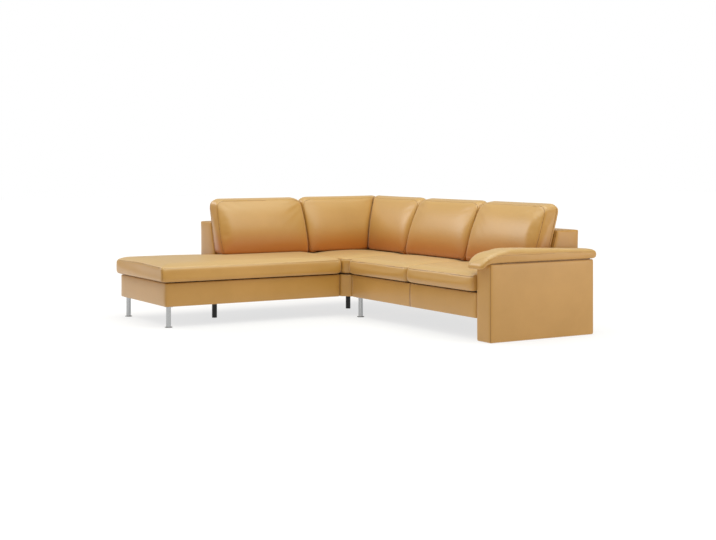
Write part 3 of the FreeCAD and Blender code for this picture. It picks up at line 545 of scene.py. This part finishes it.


# voxel is the size of the shell's squares, slack and cap how far it is drawn in and may swell. What a
# cushion touches and where it is sewn are planes: a point, the direction across, and where on the shell.
# one amount in each cushion's settings gives how much painted light its upward faces get
seat = {"voxel": 12, "soften": 6, "slack": 3, "cap": 9, "seamFade": 30, "seamGive": 0.35, "fill": 0.85,
        "topLight": 0.85, "low": 319.3, "seam": 418, "rear": 268, "front": 700, "turn": 0.3, "overhang": 44,
        "endSeam": 9}
seatLow, seatSeam, seatRear, between = seat["low"], seat["seam"], seat["rear"], sofa["between"]
loungeX = (sofa["loungeEnd"] - seat["overhang"], -sofa["corner"] - between)
seatCushions = [
    {**seat, "name": "loungeSeatCushion", "node": "lounge_seat_cushion", "wing": "left",
     "touches": [((0, 0, seatLow), (0, 0, 1)), ((loungeX[1], 0, 0), (1, 0, 0)), ((0, 0, 0), (0, 1, 0))],
     "seams": [((loungeX[0] + seat["endSeam"], 0, 0), (1, 0, 0))],
     "faint": [((0, 0, seatSeam), (0, 0, 1), onFront)]},
    {**seat, "name": "cornerSeatCushion", "node": "corner_seat_cushion", "wing": "right",
     "touches": [((0, 0, seatLow), (0, 0, 1)), ((sofa["corner"] - between, 0, 0), (1, 0, 0)),
                 ((0, -923.8, 0), (0, 1, 0)), ((seatRear, 0, 0), (1, 0, 0)), ((0, -seatRear, 0), (0, 1, 0))],
     "seams": [((0, 0, seatSeam + 8), (0, 0, 1), lambda c, n: n.x > seat["turn"] or n.y < -seat["turn"])]},
    {**seat, "name": "seaterSeatCushionLeft", "node": "seater_seat_cushion_left", "wing": "right",
     "touches": [((0, 0, seatLow), (0, 0, 1)), ((sofa["corner"] + between, 0, 0), (1, 0, 0)),
                 ((sofa["seatSplit"] - between, 0, 0), (1, 0, 0)), ((0, -seatRear, 0), (0, 1, 0))],
     "seams": [((0, 0, seatSeam), (0, 0, 1), onFront)]},
    {**seat, "name": "seaterSeatCushionRight", "node": "seater_seat_cushion_right", "wing": "right",
     "touches": [((0, 0, seatLow), (0, 0, 1)), ((sofa["seatSplit"] + between, 0, 0), (1, 0, 0)),
                 ((sofa["seaterEnd"] - between, 0, 0), (1, 0, 0)), ((0, -seatRear, 0), (0, 1, 0))],
     "seams": [((0, 0, seatSeam), (0, 0, 1), onFront)]},
]
for settings in seatCushions:
    makeCushion(settings)

# The back cushions lean on the upholstered backs. Their rear lies along the slope of the back, and a
# gusset runs round them between a front and a rear seam.
backSlope = (sofa["backFoot"] - sofa["backHead"]) / (sofa["backHigh"] - sofa["backBend"])
pillow = {
    "voxel": 12, "soften": 6, "slack": 4, "cap": 12, "seamFade": 40, "seamGive": 0.35, "fill": 0.8,
    "foot": 455.3, "high": 882, "offBack": 0.4, "footThick": 148, "headThick": 122,
    "frontSeam": 12, "rearSeam": 26,
    "sink": 14, "sinkIn": 8, "sinkWide": 70, "sinkHigh": 55,
    # painted light on the upward faces, and painted shade low down, fading out over this height
    "round": 46, "square": 0.7, "squareWide": 115, "topLight": 0.5, "shade": 230,
}
lift = pillow["foot"] - sofa["backBend"]
rearFoot = sofa["backFoot"] + pillow["offBack"] - lift * backSlope
frontSlope = backSlope + (pillow["footThick"] - pillow["headThick"]) / (pillow["high"] - pillow["foot"])
leanRear = ((0, -rearFoot, pillow["foot"]), (0, 1, -backSlope))
frontDepth = rearFoot + pillow["footThick"] - pillow["frontSeam"]
leanSeams = [((0, -frontDepth, pillow["foot"]), (0, 1, -frontSlope)),
             ((0, -(rearFoot + pillow["rearSeam"]), pillow["foot"]), (0, 1, -backSlope))]
pillowLow = ((0, 0, pillow["foot"]), (0, 0, 1))
cornerEnd = sofa["corner"] - between
backCushions = [
    {"name": "loungeBackCushion", "node": "lounge_back_cushion", "wing": "left",
     "ends": [-sofa["corner"] - between], "open": -1},
    {"name": "cornerBackCushionLeft", "node": "corner_back_cushion_left", "wing": "left",
     "ends": [-cornerEnd], "mitre": ((-between, 0, 0), (1, -1, 0))},
    {"name": "cornerBackCushionRight", "node": "corner_back_cushion_right", "wing": "right",
     "ends": [cornerEnd], "mitre": ((between, 0, 0), (1, 1, 0))},
    {"name": "seaterBackCushionLeft", "node": "seater_back_cushion_left", "wing": "right",
     "ends": [sofa["corner"] + between, sofa["seatSplit"] - between]},
    {"name": "seaterBackCushionRight", "node": "seater_back_cushion_right", "wing": "right",
     "ends": [sofa["seatSplit"] + between], "open": 1},
]
for settings in backCushions:
    touches = [pillowLow, leanRear] + [((end, 0, 0), (1, 0, 0)) for end in settings["ends"]]
    if "mitre" in settings:
        touches.append(settings["mitre"])
    makeCushion({**pillow, **settings, "touches": touches, "seams": leanSeams, "rear": leanRear})


# The arm pad, one soft roll over the top of the arm

armPad = {
    "name": "armPad", "node": "arm_pad", "wing": "right", "voxel": 9, "soften": 40, "slack": 2, "cap": 6,
    "fade": 30, "fill": 0.75, "brow": (740, 945), "browRise": 15, "browTurn": 0.6,
    "gusset": 560, "frontSeam": 884, "noseSlant": 0.36, "noseTurn": 0.35, "noseReach": 6, "topLight": 0.85,
}


def makeArmPad(settings):
    shell = softShell(settings)
    local = inWing(shell, settings["wing"])
    free = ramp(np.maximum(local[:, 2] - sofa["armHigh"], 0), settings["fade"])
    puff(shell, free, settings["slack"], settings["cap"])
    # a full brow where the pad rolls down in front of the arm
    low, high = settings["brow"]
    along = np.clip((-inWing(shell, settings["wing"])[:, 1] - low) / (high - low), 0, 1)
    rise = settings["browRise"] * np.sin(along * np.pi) ** 2 * facingUp(shell, settings["browTurn"])
    write(shell.data, read(shell.data, "co") + read(shell.data, "normal") * (rise * mm)[:, None])
    makeFiner(shell)
    side, front = settings["gusset"], settings["frontSeam"]
    outside = sofa["seaterEnd"] + sofa["armWide"]
    # along the outer side, up its front end, and across the nose on a slant
    turn, reach = settings["noseTurn"], settings["noseReach"]
    seams = [((0, 0, side), (0, 0, 1), lambda c, n: n.x > 0.5 and c.y > -front),
             ((0, -front, 0), (0, 1, 0), lambda c, n: n.x > 0.5 and c.z < side),
             ((outside, -front, side), (-settings["noseSlant"], 0, 1),
              lambda c, n: n.y < -turn and c.y < -front + reach)]
    for seam in seams:
        sew(shell, settings["wing"], seam, "pad")
    # painted light: the upward faces of the pad are drawn paler
    mark(shell, "paintedTopLight", facingUp(shell) * settings["topLight"])
    smoothShade(shell, angle=70)
    finishPiece(shell, hide, [settings["node"]])
    print("arm pad", len(shell.data.vertices))


makeArmPad(armPad)


# Upholstered boxes: hide over thin wadding on timber

# return is how far the hide is folded in over the timber, steps the spaces between the cuts along x, y
# and z, belly how far a panel may swell and fade how far from its upper and lower edge it starts to.
cover = {"corner": 12, "rim": 5, "return": 18, "hemIn": 8, "steps": (22, 22, 14), "belly": 5, "fade": 30,
         "stillFrom": 0.5, "stillOver": 0.4, "thick": 3, "fill": 0.3}
upDown = [(0, 0, 1), (0, 0, -1)]


def panelFree(piece, settings, levels):
    # full in the middle of each panel, nothing on the sides that face the way of still or at the levels
    height, normals = read(piece.data, "co")[:, 2] / mm, read(piece.data, "normal")
    free = np.ones(len(height))
    for level in levels:
        free *= ramp(np.abs(height - level), settings["fade"])
    for direction in settings["still"]:
        free *= 1 - ramp(normals @ np.array(direction) - settings["stillFrom"], settings["stillOver"])
    return free


def foldIn(piece, x, y, level, wide):
    # the hide folded over the edge of the timber
    middle = Vector((sum(x) / 2, sum(y) / 2, level)) * mm
    narrow = [1 - 2 * wide / (pair[1] - pair[0]) for pair in (x, y)]
    pick(piece, "EDGE", lambda c, d: near(c.z, level * mm, hair) and abs(d.z) < 0.1)
    bpy.ops.mesh.extrude_region_move()
    bpy.ops.transform.resize(value=(*narrow, 1), center_override=middle)


def onRim(c, d, x, y, z, hemIn):
    # an edge round the top or the bottom of a box, and not the hem inside it
    hem = all(pair[0] + hemIn < v / mm < pair[1] - hemIn for v, pair in ((c.x, x), (c.y, y)))
    return abs(d.z) < 0.1 and not hem and any(near(c.z, level * mm, hair) for level in z)


def divideAll(limits, steps):
    # even cuts all over, so that the hide can bend
    for axis, (low, high) in enumerate(limits):
        divide(axis, low, high, steps[axis])
    bpy.ops.mesh.select_all(action="SELECT")
    bpy.ops.mesh.normals_make_consistent(inside=False)
    leave()


def upholster(piece, settings, levels, seams, kind):
    # the panels filled out, sewn, made as thick as hide and wadding, and stood in their wing
    puff(piece, panelFree(piece, settings, levels), 0, settings["belly"])
    lines = [sew(piece, "flat", seam, kind) for seam in seams]
    skin = piece.modifiers.new("Skin", "SOLIDIFY")
    skin.thickness = settings["thick"] * mm
    skin.offset = -1
    applyAll(piece)
    standOn(piece, settings["wing"])
    smoothShade(piece, angle=50)
    finishPiece(piece, hide, [settings["node"]])
    for line in lines:
        standOn(line, settings["wing"])
    if lines:
        makeWelt(piece, lines, kind)
    print("cover", settings["name"], len(piece.data.vertices))


# still lists the directions in which a cover lies against something and can't swell
baseBoxes = [
    {"name": "loungeBaseCover", "node": "lounge_base_cover", "wing": "left", "still": [(1, 0, 0), *upDown],
     "x": (sofa["loungeEnd"] + sofa["gap"], -sofa["corner"] - sofa["gap"]), "y": (-sofa["depth"], 0),
     "seams": []},
    {"name": "cornerBaseCover", "node": "corner_base_cover", "wing": "right", "slant": True,
     "x": (0, sofa["corner"] - sofa["gap"]), "y": (-sofa["corner"] + sofa["gap"], 0),
     "still": [(1, 0, 0), *upDown, (0, -1, 0)], "seams": []},
    {"name": "seaterBaseCover", "node": "seater_base_cover", "wing": "right",
     "x": (sofa["corner"] + sofa["gap"], sofa["seaterEnd"] - sofa["gap"]), "y": (-sofa["depth"], 0),
     "still": [(-1, 0, 0), *upDown, (1, 0, 0)],
     "seams": [((sofa["corner"] + 805, 0, 0), (1, 0, 0), lambda c, n: n.y < -0.5)]},
]


def makeBase(settings):
    x, y, z = settings["x"], settings["y"], (sofa["baseLow"], sofa["baseHigh"])
    piece = block(settings["name"], x, y, z)
    edit(piece)
    if settings.get("slant"):
        # the cut-off inner corner
        pick(piece, "EDGE", lambda c, d: abs(d.z) > 0.9 and near(c.x, x[1] * mm) and near(c.y, y[0] * mm))
        bpy.ops.mesh.bevel(offset=sofa["chamfer"] * mm, segments=1)
    pick(piece, "FACE", lambda c, n: abs(n.z) > 0.9)
    bpy.ops.mesh.delete(type="ONLY_FACE")
    pick(piece, "EDGE", lambda c, d: abs(d.z) > 0.9)
    bpy.ops.mesh.bevel(offset=settings["corner"] * mm, segments=4)
    for level in z:
        foldIn(piece, x, y, level, settings["return"])
    pick(piece, "EDGE", lambda c, d: onRim(c, d, x, y, z, settings["hemIn"]))
    bpy.ops.mesh.bevel(offset=settings["rim"] * mm, segments=3)
    divideAll((x, y, z), settings["steps"])
    upholster(piece, settings, z, settings["seams"], "panel")


for settings in baseBoxes:
    makeBase({**cover, **settings})

backWork = {**cover, "edge": 7, "steps": (30, 30, 24), "belly": 4}
leanFront = (0, -0.95, 0.3)
backBoxes = [
    {"name": "loungeBackCover", "node": "lounge_back_cover", "wing": "left", "still": [(1, 0, 0), leanFront],
     "x": (sofa["openEnd"] + sofa["gap"], -sofa["corner"] - sofa["gap"])},
    {"name": "seaterBackCover", "node": "seater_back_cover", "wing": "right",
     "still": [(-1, 0, 0), leanFront],
     "x": (sofa["corner"] + sofa["gap"], sofa["seaterEnd"] - sofa["gap"])},
    {"name": "cornerBackCover", "node": "corner_back_cover", "wing": "right", "bent": True,
     "still": [(1, 0, 0), (0, -1, 0), leanFront, (0.95, 0, 0.3)], "x": (0, sofa["corner"] - sofa["gap"])},
]


def makeBack(settings):
    x, y, z = settings["x"], (-sofa["backFoot"], 0), (sofa["baseHigh"], sofa["backHigh"])
    foot, lean = sofa["backFoot"] * mm, (sofa["backFoot"] - sofa["backHead"]) * mm
    top, bent = sofa["backHigh"] * mm, settings.get("bent")
    piece = block(settings["name"], x, y, z)
    edit(piece)
    if bent:
        # the corner's back also runs out along the other wing
        y = (-x[1], 0)
        bpy.ops.mesh.select_all(action="SELECT")
        bpy.ops.mesh.bisect(plane_co=(foot, 0, 0), plane_no=(1, 0, 0))
        pick(piece, "FACE", lambda c, n: n.y < -0.9 and c.x < foot)
        bpy.ops.mesh.extrude_region_move(
            TRANSFORM_OT_translate={"value": (0, -(x[1] - sofa["backFoot"]) * mm, 0)})
    bpy.ops.mesh.select_all(action="SELECT")
    bpy.ops.mesh.bisect(plane_co=(0, 0, sofa["backBend"] * mm), plane_no=(0, 0, 1))
    # above the bend the front leans back, on the corner's back in both wings
    start = (foot if bent else x[0] * mm) - mm
    pick(piece, "VERT", lambda c, n: near(c.z, top) and near(c.y, -foot) and c.x > start)
    bpy.ops.transform.translate(value=(0, lean, 0))
    if bent:
        pick(piece, "VERT", lambda c, n: near(c.z, top) and near(c.x, foot) and c.y < -foot + lean + mm)
        bpy.ops.transform.translate(value=(-lean, 0, 0))
    pick(piece, "FACE", lambda c, n: n.z < -0.9)
    bpy.ops.mesh.delete(type="ONLY_FACE")
    bpy.ops.mesh.select_all(action="SELECT")
    bpy.ops.mesh.dissolve_limited(angle_limit=math.radians(1))
    pick(piece, "EDGE", lambda c, d: near(c.z, top) or abs(d.z) > 0.5)
    bpy.ops.mesh.bevel(offset=settings["edge"] * mm, segments=3)
    divideAll((x, y, z), settings["steps"])
    ends = () if bent else (x[0] + settings["edge"], x[1] - settings["edge"])
    upholster(piece, settings, z, [((end, 0, 0), (1, 0, 0)) for end in ends], "panel")


for settings in backBoxes:
    makeBack({**backWork, **settings})

arm = {**cover, "name": "armCover", "node": "arm_cover", "wing": "right", "still": [(-1, 0, 0), *upDown],
       "corner": 14, "rim": 8, "return": 20, "hemIn": 10, "steps": (24, 24, 24), "belly": 4, "fade": 40,
       "seamIn": 6}


def makeArm(settings):
    x = (sofa["seaterEnd"], sofa["seaterEnd"] + sofa["armWide"])
    y, z = (-sofa["depth"], 0), (sofa["armLow"], sofa["armHigh"])
    piece = block(settings["name"], x, y, z)
    edit(piece)
    pick(piece, "FACE", lambda c, n: n.z < -0.9)
    bpy.ops.mesh.delete(type="ONLY_FACE")
    pick(piece, "EDGE", lambda c, d: abs(d.z) > 0.9)
    bpy.ops.mesh.bevel(offset=settings["corner"] * mm, segments=5)
    foldIn(piece, x, y, z[0], settings["return"])
    pick(piece, "EDGE", lambda c, d: onRim(c, d, x, y, z, settings["hemIn"]))
    bpy.ops.mesh.bevel(offset=settings["rim"] * mm, segments=4)
    divideAll((x, y, z), settings["steps"])
    upholster(piece, settings, z, [((x[1] - settings["seamIn"], 0, 0), (1, 0, 0))], "arm")


makeArm(arm)


# Flat work in and under the bases, cut to its outline

def layFlat(settings):
    # one flat cut, with rectangles and one slanting corner taken out of it
    x, y = settings["x"], settings["y"]
    bpy.ops.object.select_all(action="DESELECT")
    bpy.ops.mesh.primitive_plane_add(size=1, location=(sum(x) / 2 * mm, sum(y) / 2 * mm,
                                                       settings["level"] * mm))
    piece = bpy.context.object
    piece.name = piece.data.name = settings["name"]
    piece.scale = ((x[1] - x[0]) * mm, (y[1] - y[0]) * mm, 1)
    bpy.ops.object.transform_apply(location=True, rotation=True, scale=True)
    edit(piece)
    gaps = settings.get("gaps", [])
    for gap in gaps:
        for axis, pair in enumerate(gap):
            across = Vector([float(i == axis) for i in range(3)])
            for limit in pair:
                bpy.ops.mesh.select_all(action="SELECT")
                bpy.ops.mesh.bisect(plane_co=across * limit * mm, plane_no=across)
    pick(piece, "FACE", lambda c, n: any(
        all(low < middle / mm < high for middle, (low, high) in zip((c.x, c.y), gap)) for gap in gaps))
    bpy.ops.mesh.delete(type="FACE")
    if "slant" in settings:
        bpy.ops.mesh.select_all(action="SELECT")
        bpy.ops.mesh.bisect(plane_co=((x[1] - settings["slant"]) * mm, y[0] * mm, 0), plane_no=(1, -1, 0),
                            clear_outer=True)
    divide(0, *x, settings["step"])
    divide(1, *y, settings["step"])
    leave()
    return piece


def thicken(piece, thick, wing):
    skin = piece.modifiers.new("Skin", "SOLIDIFY")
    skin.thickness = thick * mm
    skin.offset = 0
    applyAll(piece)
    standOn(piece, wing)


# The padded deck that each seat cushion rests on
deck = {"level": 316, "thick": 5.8, "step": 60, "rim": 1.8, "fill": 0.5}
decks = [
    {"name": "loungeDeck", "node": "lounge_seat_deck", "wing": "left", "x": (-2321, -952), "y": (-848, -22),
     "gaps": [((-1711, -951), (-268, -21))]},
    {"name": "cornerDeck", "node": "corner_seat_deck", "wing": "right", "x": (268, 907.7),
     "y": (-907.7, -268), "slant": 46.8},
    {"name": "seaterDeck", "node": "seater_seat_deck", "wing": "right", "x": (952, 2482), "y": (-848, -268)},
]
for settings in decks:
    piece = layFlat({**deck, **settings})
    thicken(piece, deck["thick"], settings["wing"])
    rim = piece.modifiers.new("Rim", "BEVEL")
    rim.width = deck["rim"] * mm
    rim.segments = 3
    applyAll(piece)
    smoothShade(piece)
    finishPiece(piece, deckCloth, [settings["node"]])
print("seat decks made")

# Elastic straps stretched over the rails
strap = {"wide": 60, "z": (311.4, 313), "step": 80, "edge": 0.6}
webbing = [
    {"name": "loungeStraps", "node": "lounge_webbing", "wing": "left", "first": -2257, "pitch": 124.1,
     "count": 11, "y": (-861.4, -8.6)},
    {"name": "cornerStraps", "node": "corner_webbing", "wing": "right", "first": 83.7, "pitch": 119.5,
     "count": 7, "y": (-921.1, -8.6)},
    {"name": "seaterStraps", "node": "seater_webbing", "wing": "right", "first": 1017.6, "pitch": 127.2,
     "count": 12, "y": (-861.4, -8.6)},
]
for settings in webbing:
    middle, half = settings["first"], strap["wide"] / 2
    piece = block(settings["name"], (middle - half, middle + half), settings["y"], strap["z"])
    edit(piece)
    pick(piece, "EDGE", lambda c, d: abs(d.y) > 0.9)
    bpy.ops.mesh.bevel(offset=strap["edge"] * mm, segments=2)
    divide(1, *settings["y"], strap["step"])
    leave()
    row = piece.modifiers.new("Row", "ARRAY")
    row.count = settings["count"]
    row.use_relative_offset = False
    row.use_constant_offset = True
    row.constant_offset_displace = (settings["pitch"] * mm, 0, 0)
    applyAll(piece)
    standOn(piece, settings["wing"])
    smoothShade(piece)
    finishPiece(piece, elastic, [settings["node"]])
print("webbing made")

# Spunbonded cloth stapled under each base, hanging a little between its edges
under = {"level": 147.4, "thick": 0.8, "step": 30, "sag": 3, "ease": 160}
undersides = [
    {"name": "loungeUnderside", "node": "lounge_underside_cloth", "wing": "left", "rail": "lounge_base_frame",
     "x": (-2322.7, -950.3), "y": (-850, -20),
     "gaps": [((-2323, -2242.7), (-851, -770)), ((-2323, -2242.7), (-100, -19)),
              ((-1807.3, -1758.7), (-490.3, -441.7))]},
    {"name": "cornerUnderside", "node": "corner_underside_cloth", "wing": "right",
     "rail": "corner_base_frame", "x": (20, 909.7), "y": (-909.7, -20), "slant": 48,
     "gaps": [((19, 100), (-100, -19)), ((441.7, 490.3), (-647.3, -598.7))]},
    {"name": "seaterUnderside", "node": "seater_underside_cloth", "wing": "right",
     "rail": "seater_base_frame", "x": (950.3, 2483.7), "y": (-850, -20),
     "gaps": [((950, 1030.3), (-851, -770)), ((950, 1030.3), (-100, -19))]},
]
for settings in undersides:
    piece = layFlat({**under, **settings})
    local = read(piece.data, "co") / mm
    drop = np.full(len(local), float(under["sag"]))
    for axis, pair in enumerate((settings["x"], settings["y"])):
        for limit in pair:
            drop *= ramp(np.abs(local[:, axis] - limit), under["ease"])
    for gap in settings["gaps"]:
        apart = [np.maximum(np.maximum(pair[0] - local[:, axis], local[:, axis] - pair[1]), 0)
                 for axis, pair in enumerate(gap)]
        drop *= ramp(np.hypot(*apart), under["ease"])
    write(piece.data, (local - np.outer(drop, (0, 0, 1))) * mm)
    thicken(piece, under["thick"], settings["wing"])
    smoothShade(piece)
    finishPiece(piece, spunCloth, [settings["node"]])
print("underside cloths made")


# Levelling glides: a turned foot with a threaded stem up into the leg

glide = {"radius": 27, "thick": 5, "edge": 1.2, "sides": 32, "collar": 10, "collarRise": 0.25,
         "groove": 0.99, "stem": 4, "root": 3.4, "pitch": 1.25, "turns": 23}
legs = ["end_front", "end_back", "outer_corner", "seater_front", "seater_back"]


def middleOf(name):
    low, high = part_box(name)
    return (Vector(low) + Vector(high)) / 2


def makeDisc(settings, place, high):
    # the start of a turned piece, a flat cylinder round a place
    bpy.ops.object.select_all(action="DESELECT")
    bpy.ops.mesh.primitive_cylinder_add(vertices=settings["sides"], radius=settings["radius"] * mm,
                                        depth=high * mm, end_fill_type="NGON", location=place)
    bpy.ops.object.transform_apply(location=True, rotation=True, scale=True)
    return bpy.context.object


def makeGlide(leg):
    middle = middleOf("glide_" + leg)
    piece = makeDisc(glide, (middle.x, middle.y, glide["thick"] / 2 * mm), glide["thick"])
    piece.name = piece.data.name = "glide_" + leg
    edit(piece)
    pick(piece, "EDGE", lambda c, d: abs(d.z) < 0.1)
    bpy.ops.mesh.bevel(offset=glide["edge"] * mm, segments=3)
    pick(piece, "FACE", lambda c, n: n.z > 0.99)
    center = Vector((middle.x, middle.y, 0))
    # each step goes up and in or out: the dish, its groove, the foot of the stem, then the thread
    steps = [(glide["collarRise"], glide["collar"] / (glide["radius"] - glide["edge"])),
             (0.0, glide["groove"]), (0.0, glide["root"] / glide["collar"])]
    crest = glide["stem"] / glide["root"]
    thread = [(glide["pitch"] / 2, crest), (glide["pitch"] / 2, 1 / crest)] * glide["turns"]
    for height, wide in steps + thread:
        bpy.ops.mesh.extrude_region_move(TRANSFORM_OT_translate={"value": (0, 0, height * mm)})
        bpy.ops.transform.resize(value=(wide, wide, 1), center_override=center)
    leave()
    smoothShade(piece, angle=30)
    finishPiece(piece, chromed, ["glide_" + leg], body="foot_" + leg)


for leg in legs:
    makeGlide(leg)
print("glides turned")

# Pan head screws under the plates of the legs and the link plates
screw = {"radius": 4.2, "high": 2.2, "edge": 0.9, "wall": 1.9, "recess": 1.1, "sides": 20,
         "spread": 18, "legPlate": 145, "linkPlate": 144, "linkReach": 34, "linkDepths": (190, 680)}


def makeScrew(place):
    piece = makeDisc(screw, place - Vector((0, 0, screw["high"] / 2 * mm)), screw["high"])
    edit(piece)
    bottom = place.z - screw["high"] * mm
    pick(piece, "EDGE", lambda c, d: near(c.z, bottom, hair))
    bpy.ops.mesh.bevel(offset=screw["edge"] * mm, segments=2)
    pick(piece, "FACE", lambda c, n: n.z < -0.99)
    bpy.ops.mesh.inset(thickness=screw["wall"] * mm)
    bpy.ops.transform.translate(value=(0, 0, screw["recess"] * mm))
    leave()
    return piece


def makeScrews(name, places):
    # one screw, copied to every place and joined
    first = makeScrew(places[0])
    copies = []
    for place in places[1:]:
        other = bpy.data.objects.new(name, first.data.copy())
        scene.collection.objects.link(other)
        other.data.transform(Matrix.Translation(place - places[0]))
        copies.append(other)
    only(first)
    for other in copies:
        other.select_set(True)
    bpy.ops.object.join()
    first.name = first.data.name = name
    smoothShade(first, angle=30)
    finishPiece(first, zincCoat)


screwPlaces = []
for name in ["glide_" + leg for leg in legs] + ["support_leg_lounge", "support_leg_corner"]:
    middle = middleOf(name)
    for x in (-1, 1):
        for y in (-1, 1):
            screwPlaces.append(Vector((middle.x + x * screw["spread"] * mm,
                                       middle.y + y * screw["spread"] * mm, screw["legPlate"] * mm)))
makeScrews("legPlateScrews", screwPlaces)
joints = [("right", sofa["corner"]), ("left", -sofa["corner"])]
screwPlaces = [
    wings[wing] @ (Vector((x + side * screw["linkReach"], -depth, screw["linkPlate"])) * mm)
    for wing, x in joints for depth in screw["linkDepths"] for side in (-1, 1)]
makeScrews("linkPlateScrews", screwPlaces)
print("screws set")


# Floor and light

# Matt white studio paint, rolled on, without shine. It is lit a little from within, more so further from
# the middle (in metres), so that it stays white to the horizon.
studioFloor = {"size": 60, "color": "#898989", "rough": 0.9, "shine": 0.1,
               "glowNear": 0.72, "glowFar": 0.93, "from": 0.8, "to": 5.5}
bpy.ops.object.select_all(action="DESELECT")
bpy.ops.mesh.primitive_plane_add(size=studioFloor["size"], location=(0, 0, 0))
floor = bpy.context.object
floor.name = "floor"
floorPaint = emptyMaterial("Matt white paint")
spot = node(floorPaint, "TexCoord").outputs["Object"]
reach = node(floorPaint, "VectorMath", {0: spot}, operation="LENGTH")
lit = node(floorPaint, "MapRange", {
    "Value": reach.outputs["Value"], "From Min": studioFloor["from"], "From Max": studioFloor["to"],
    "To Min": studioFloor["glowNear"], "To Max": studioFloor["glowFar"]})
paint = node(floorPaint, "BsdfPrincipled", {
    "Base Color": linear(studioFloor["color"]), "Roughness": studioFloor["rough"],
    "Specular IOR Level": studioFloor["shine"], "Emission Color": (1, 1, 1, 1),
    "Emission Strength": lit.outputs["Result"]})
node(floorPaint, "OutputMaterial", {"Surface": paint.outputs["BSDF"]})
floor.data.materials.append(floorPaint)

studio = {"fill": (0.44, 0.40, 0.35, 1), "backdrop": (1, 1, 1, 1), "aim": (0, 0, 0.4)}
world = bpy.data.worlds.new("studio")
scene.world = world
world.use_nodes = True
world.node_tree.nodes.clear()
# the white backdrop shows brighter than the light it gives
shown = node(world, "LightPath").outputs["Is Camera Ray"]
walls = node(world, "Mix", {0: shown, 6: studio["fill"], 7: studio["backdrop"]}, data_type="RGBA")
sky = node(world, "Background", {"Color": walls.outputs[2]})
node(world, "OutputWorld", {"Surface": sky.outputs["Background"]})
lights = [
    {"name": "over", "place": (0.3, -0.2, 4.6), "size": 5.0, "power": 195, "color": (0.91, 1.0, 0.98)},
    {"name": "left", "place": (-4.6, -3.2, 3.9), "size": 2.2, "power": 95, "color": (1, 1, 1)},
    {"name": "right", "place": (4.6, 2.4, 5.2), "size": 2.6, "power": 70, "color": (1, 1, 1)},
    {"name": "side", "place": (5.0, 3.6, 1.2), "size": 2.0, "power": 35, "color": (1, 1, 1)},
]
for light in lights:
    bpy.ops.object.light_add(type="AREA", location=light["place"])
    lamp = bpy.context.object
    lamp.name = light["name"]
    lamp.data.energy = light["power"]
    lamp.data.color = light["color"]
    lamp.data.size = light["size"]
    aim = Vector(studio["aim"]) - Vector(light["place"])
    lamp.rotation_euler = aim.to_track_quat("-Z", "Y").to_euler()

# at the photograph's viewing angle
camera = {"place": (7.9716, -4.7086, 1.1722), "turn": 58.8117, "lens": 65.26, "sensor": 36,
          "shiftY": -0.1531}
bpy.ops.object.camera_add(location=camera["place"],
                          rotation=(math.radians(90), 0, math.radians(camera["turn"])))
scene.camera = bpy.context.object
scene.camera.data.lens = camera["lens"]
scene.camera.data.sensor_width = camera["sensor"]
scene.camera.data.shift_y = camera["shiftY"]
scene.view_settings.view_transform = "Standard"
print("stage set")
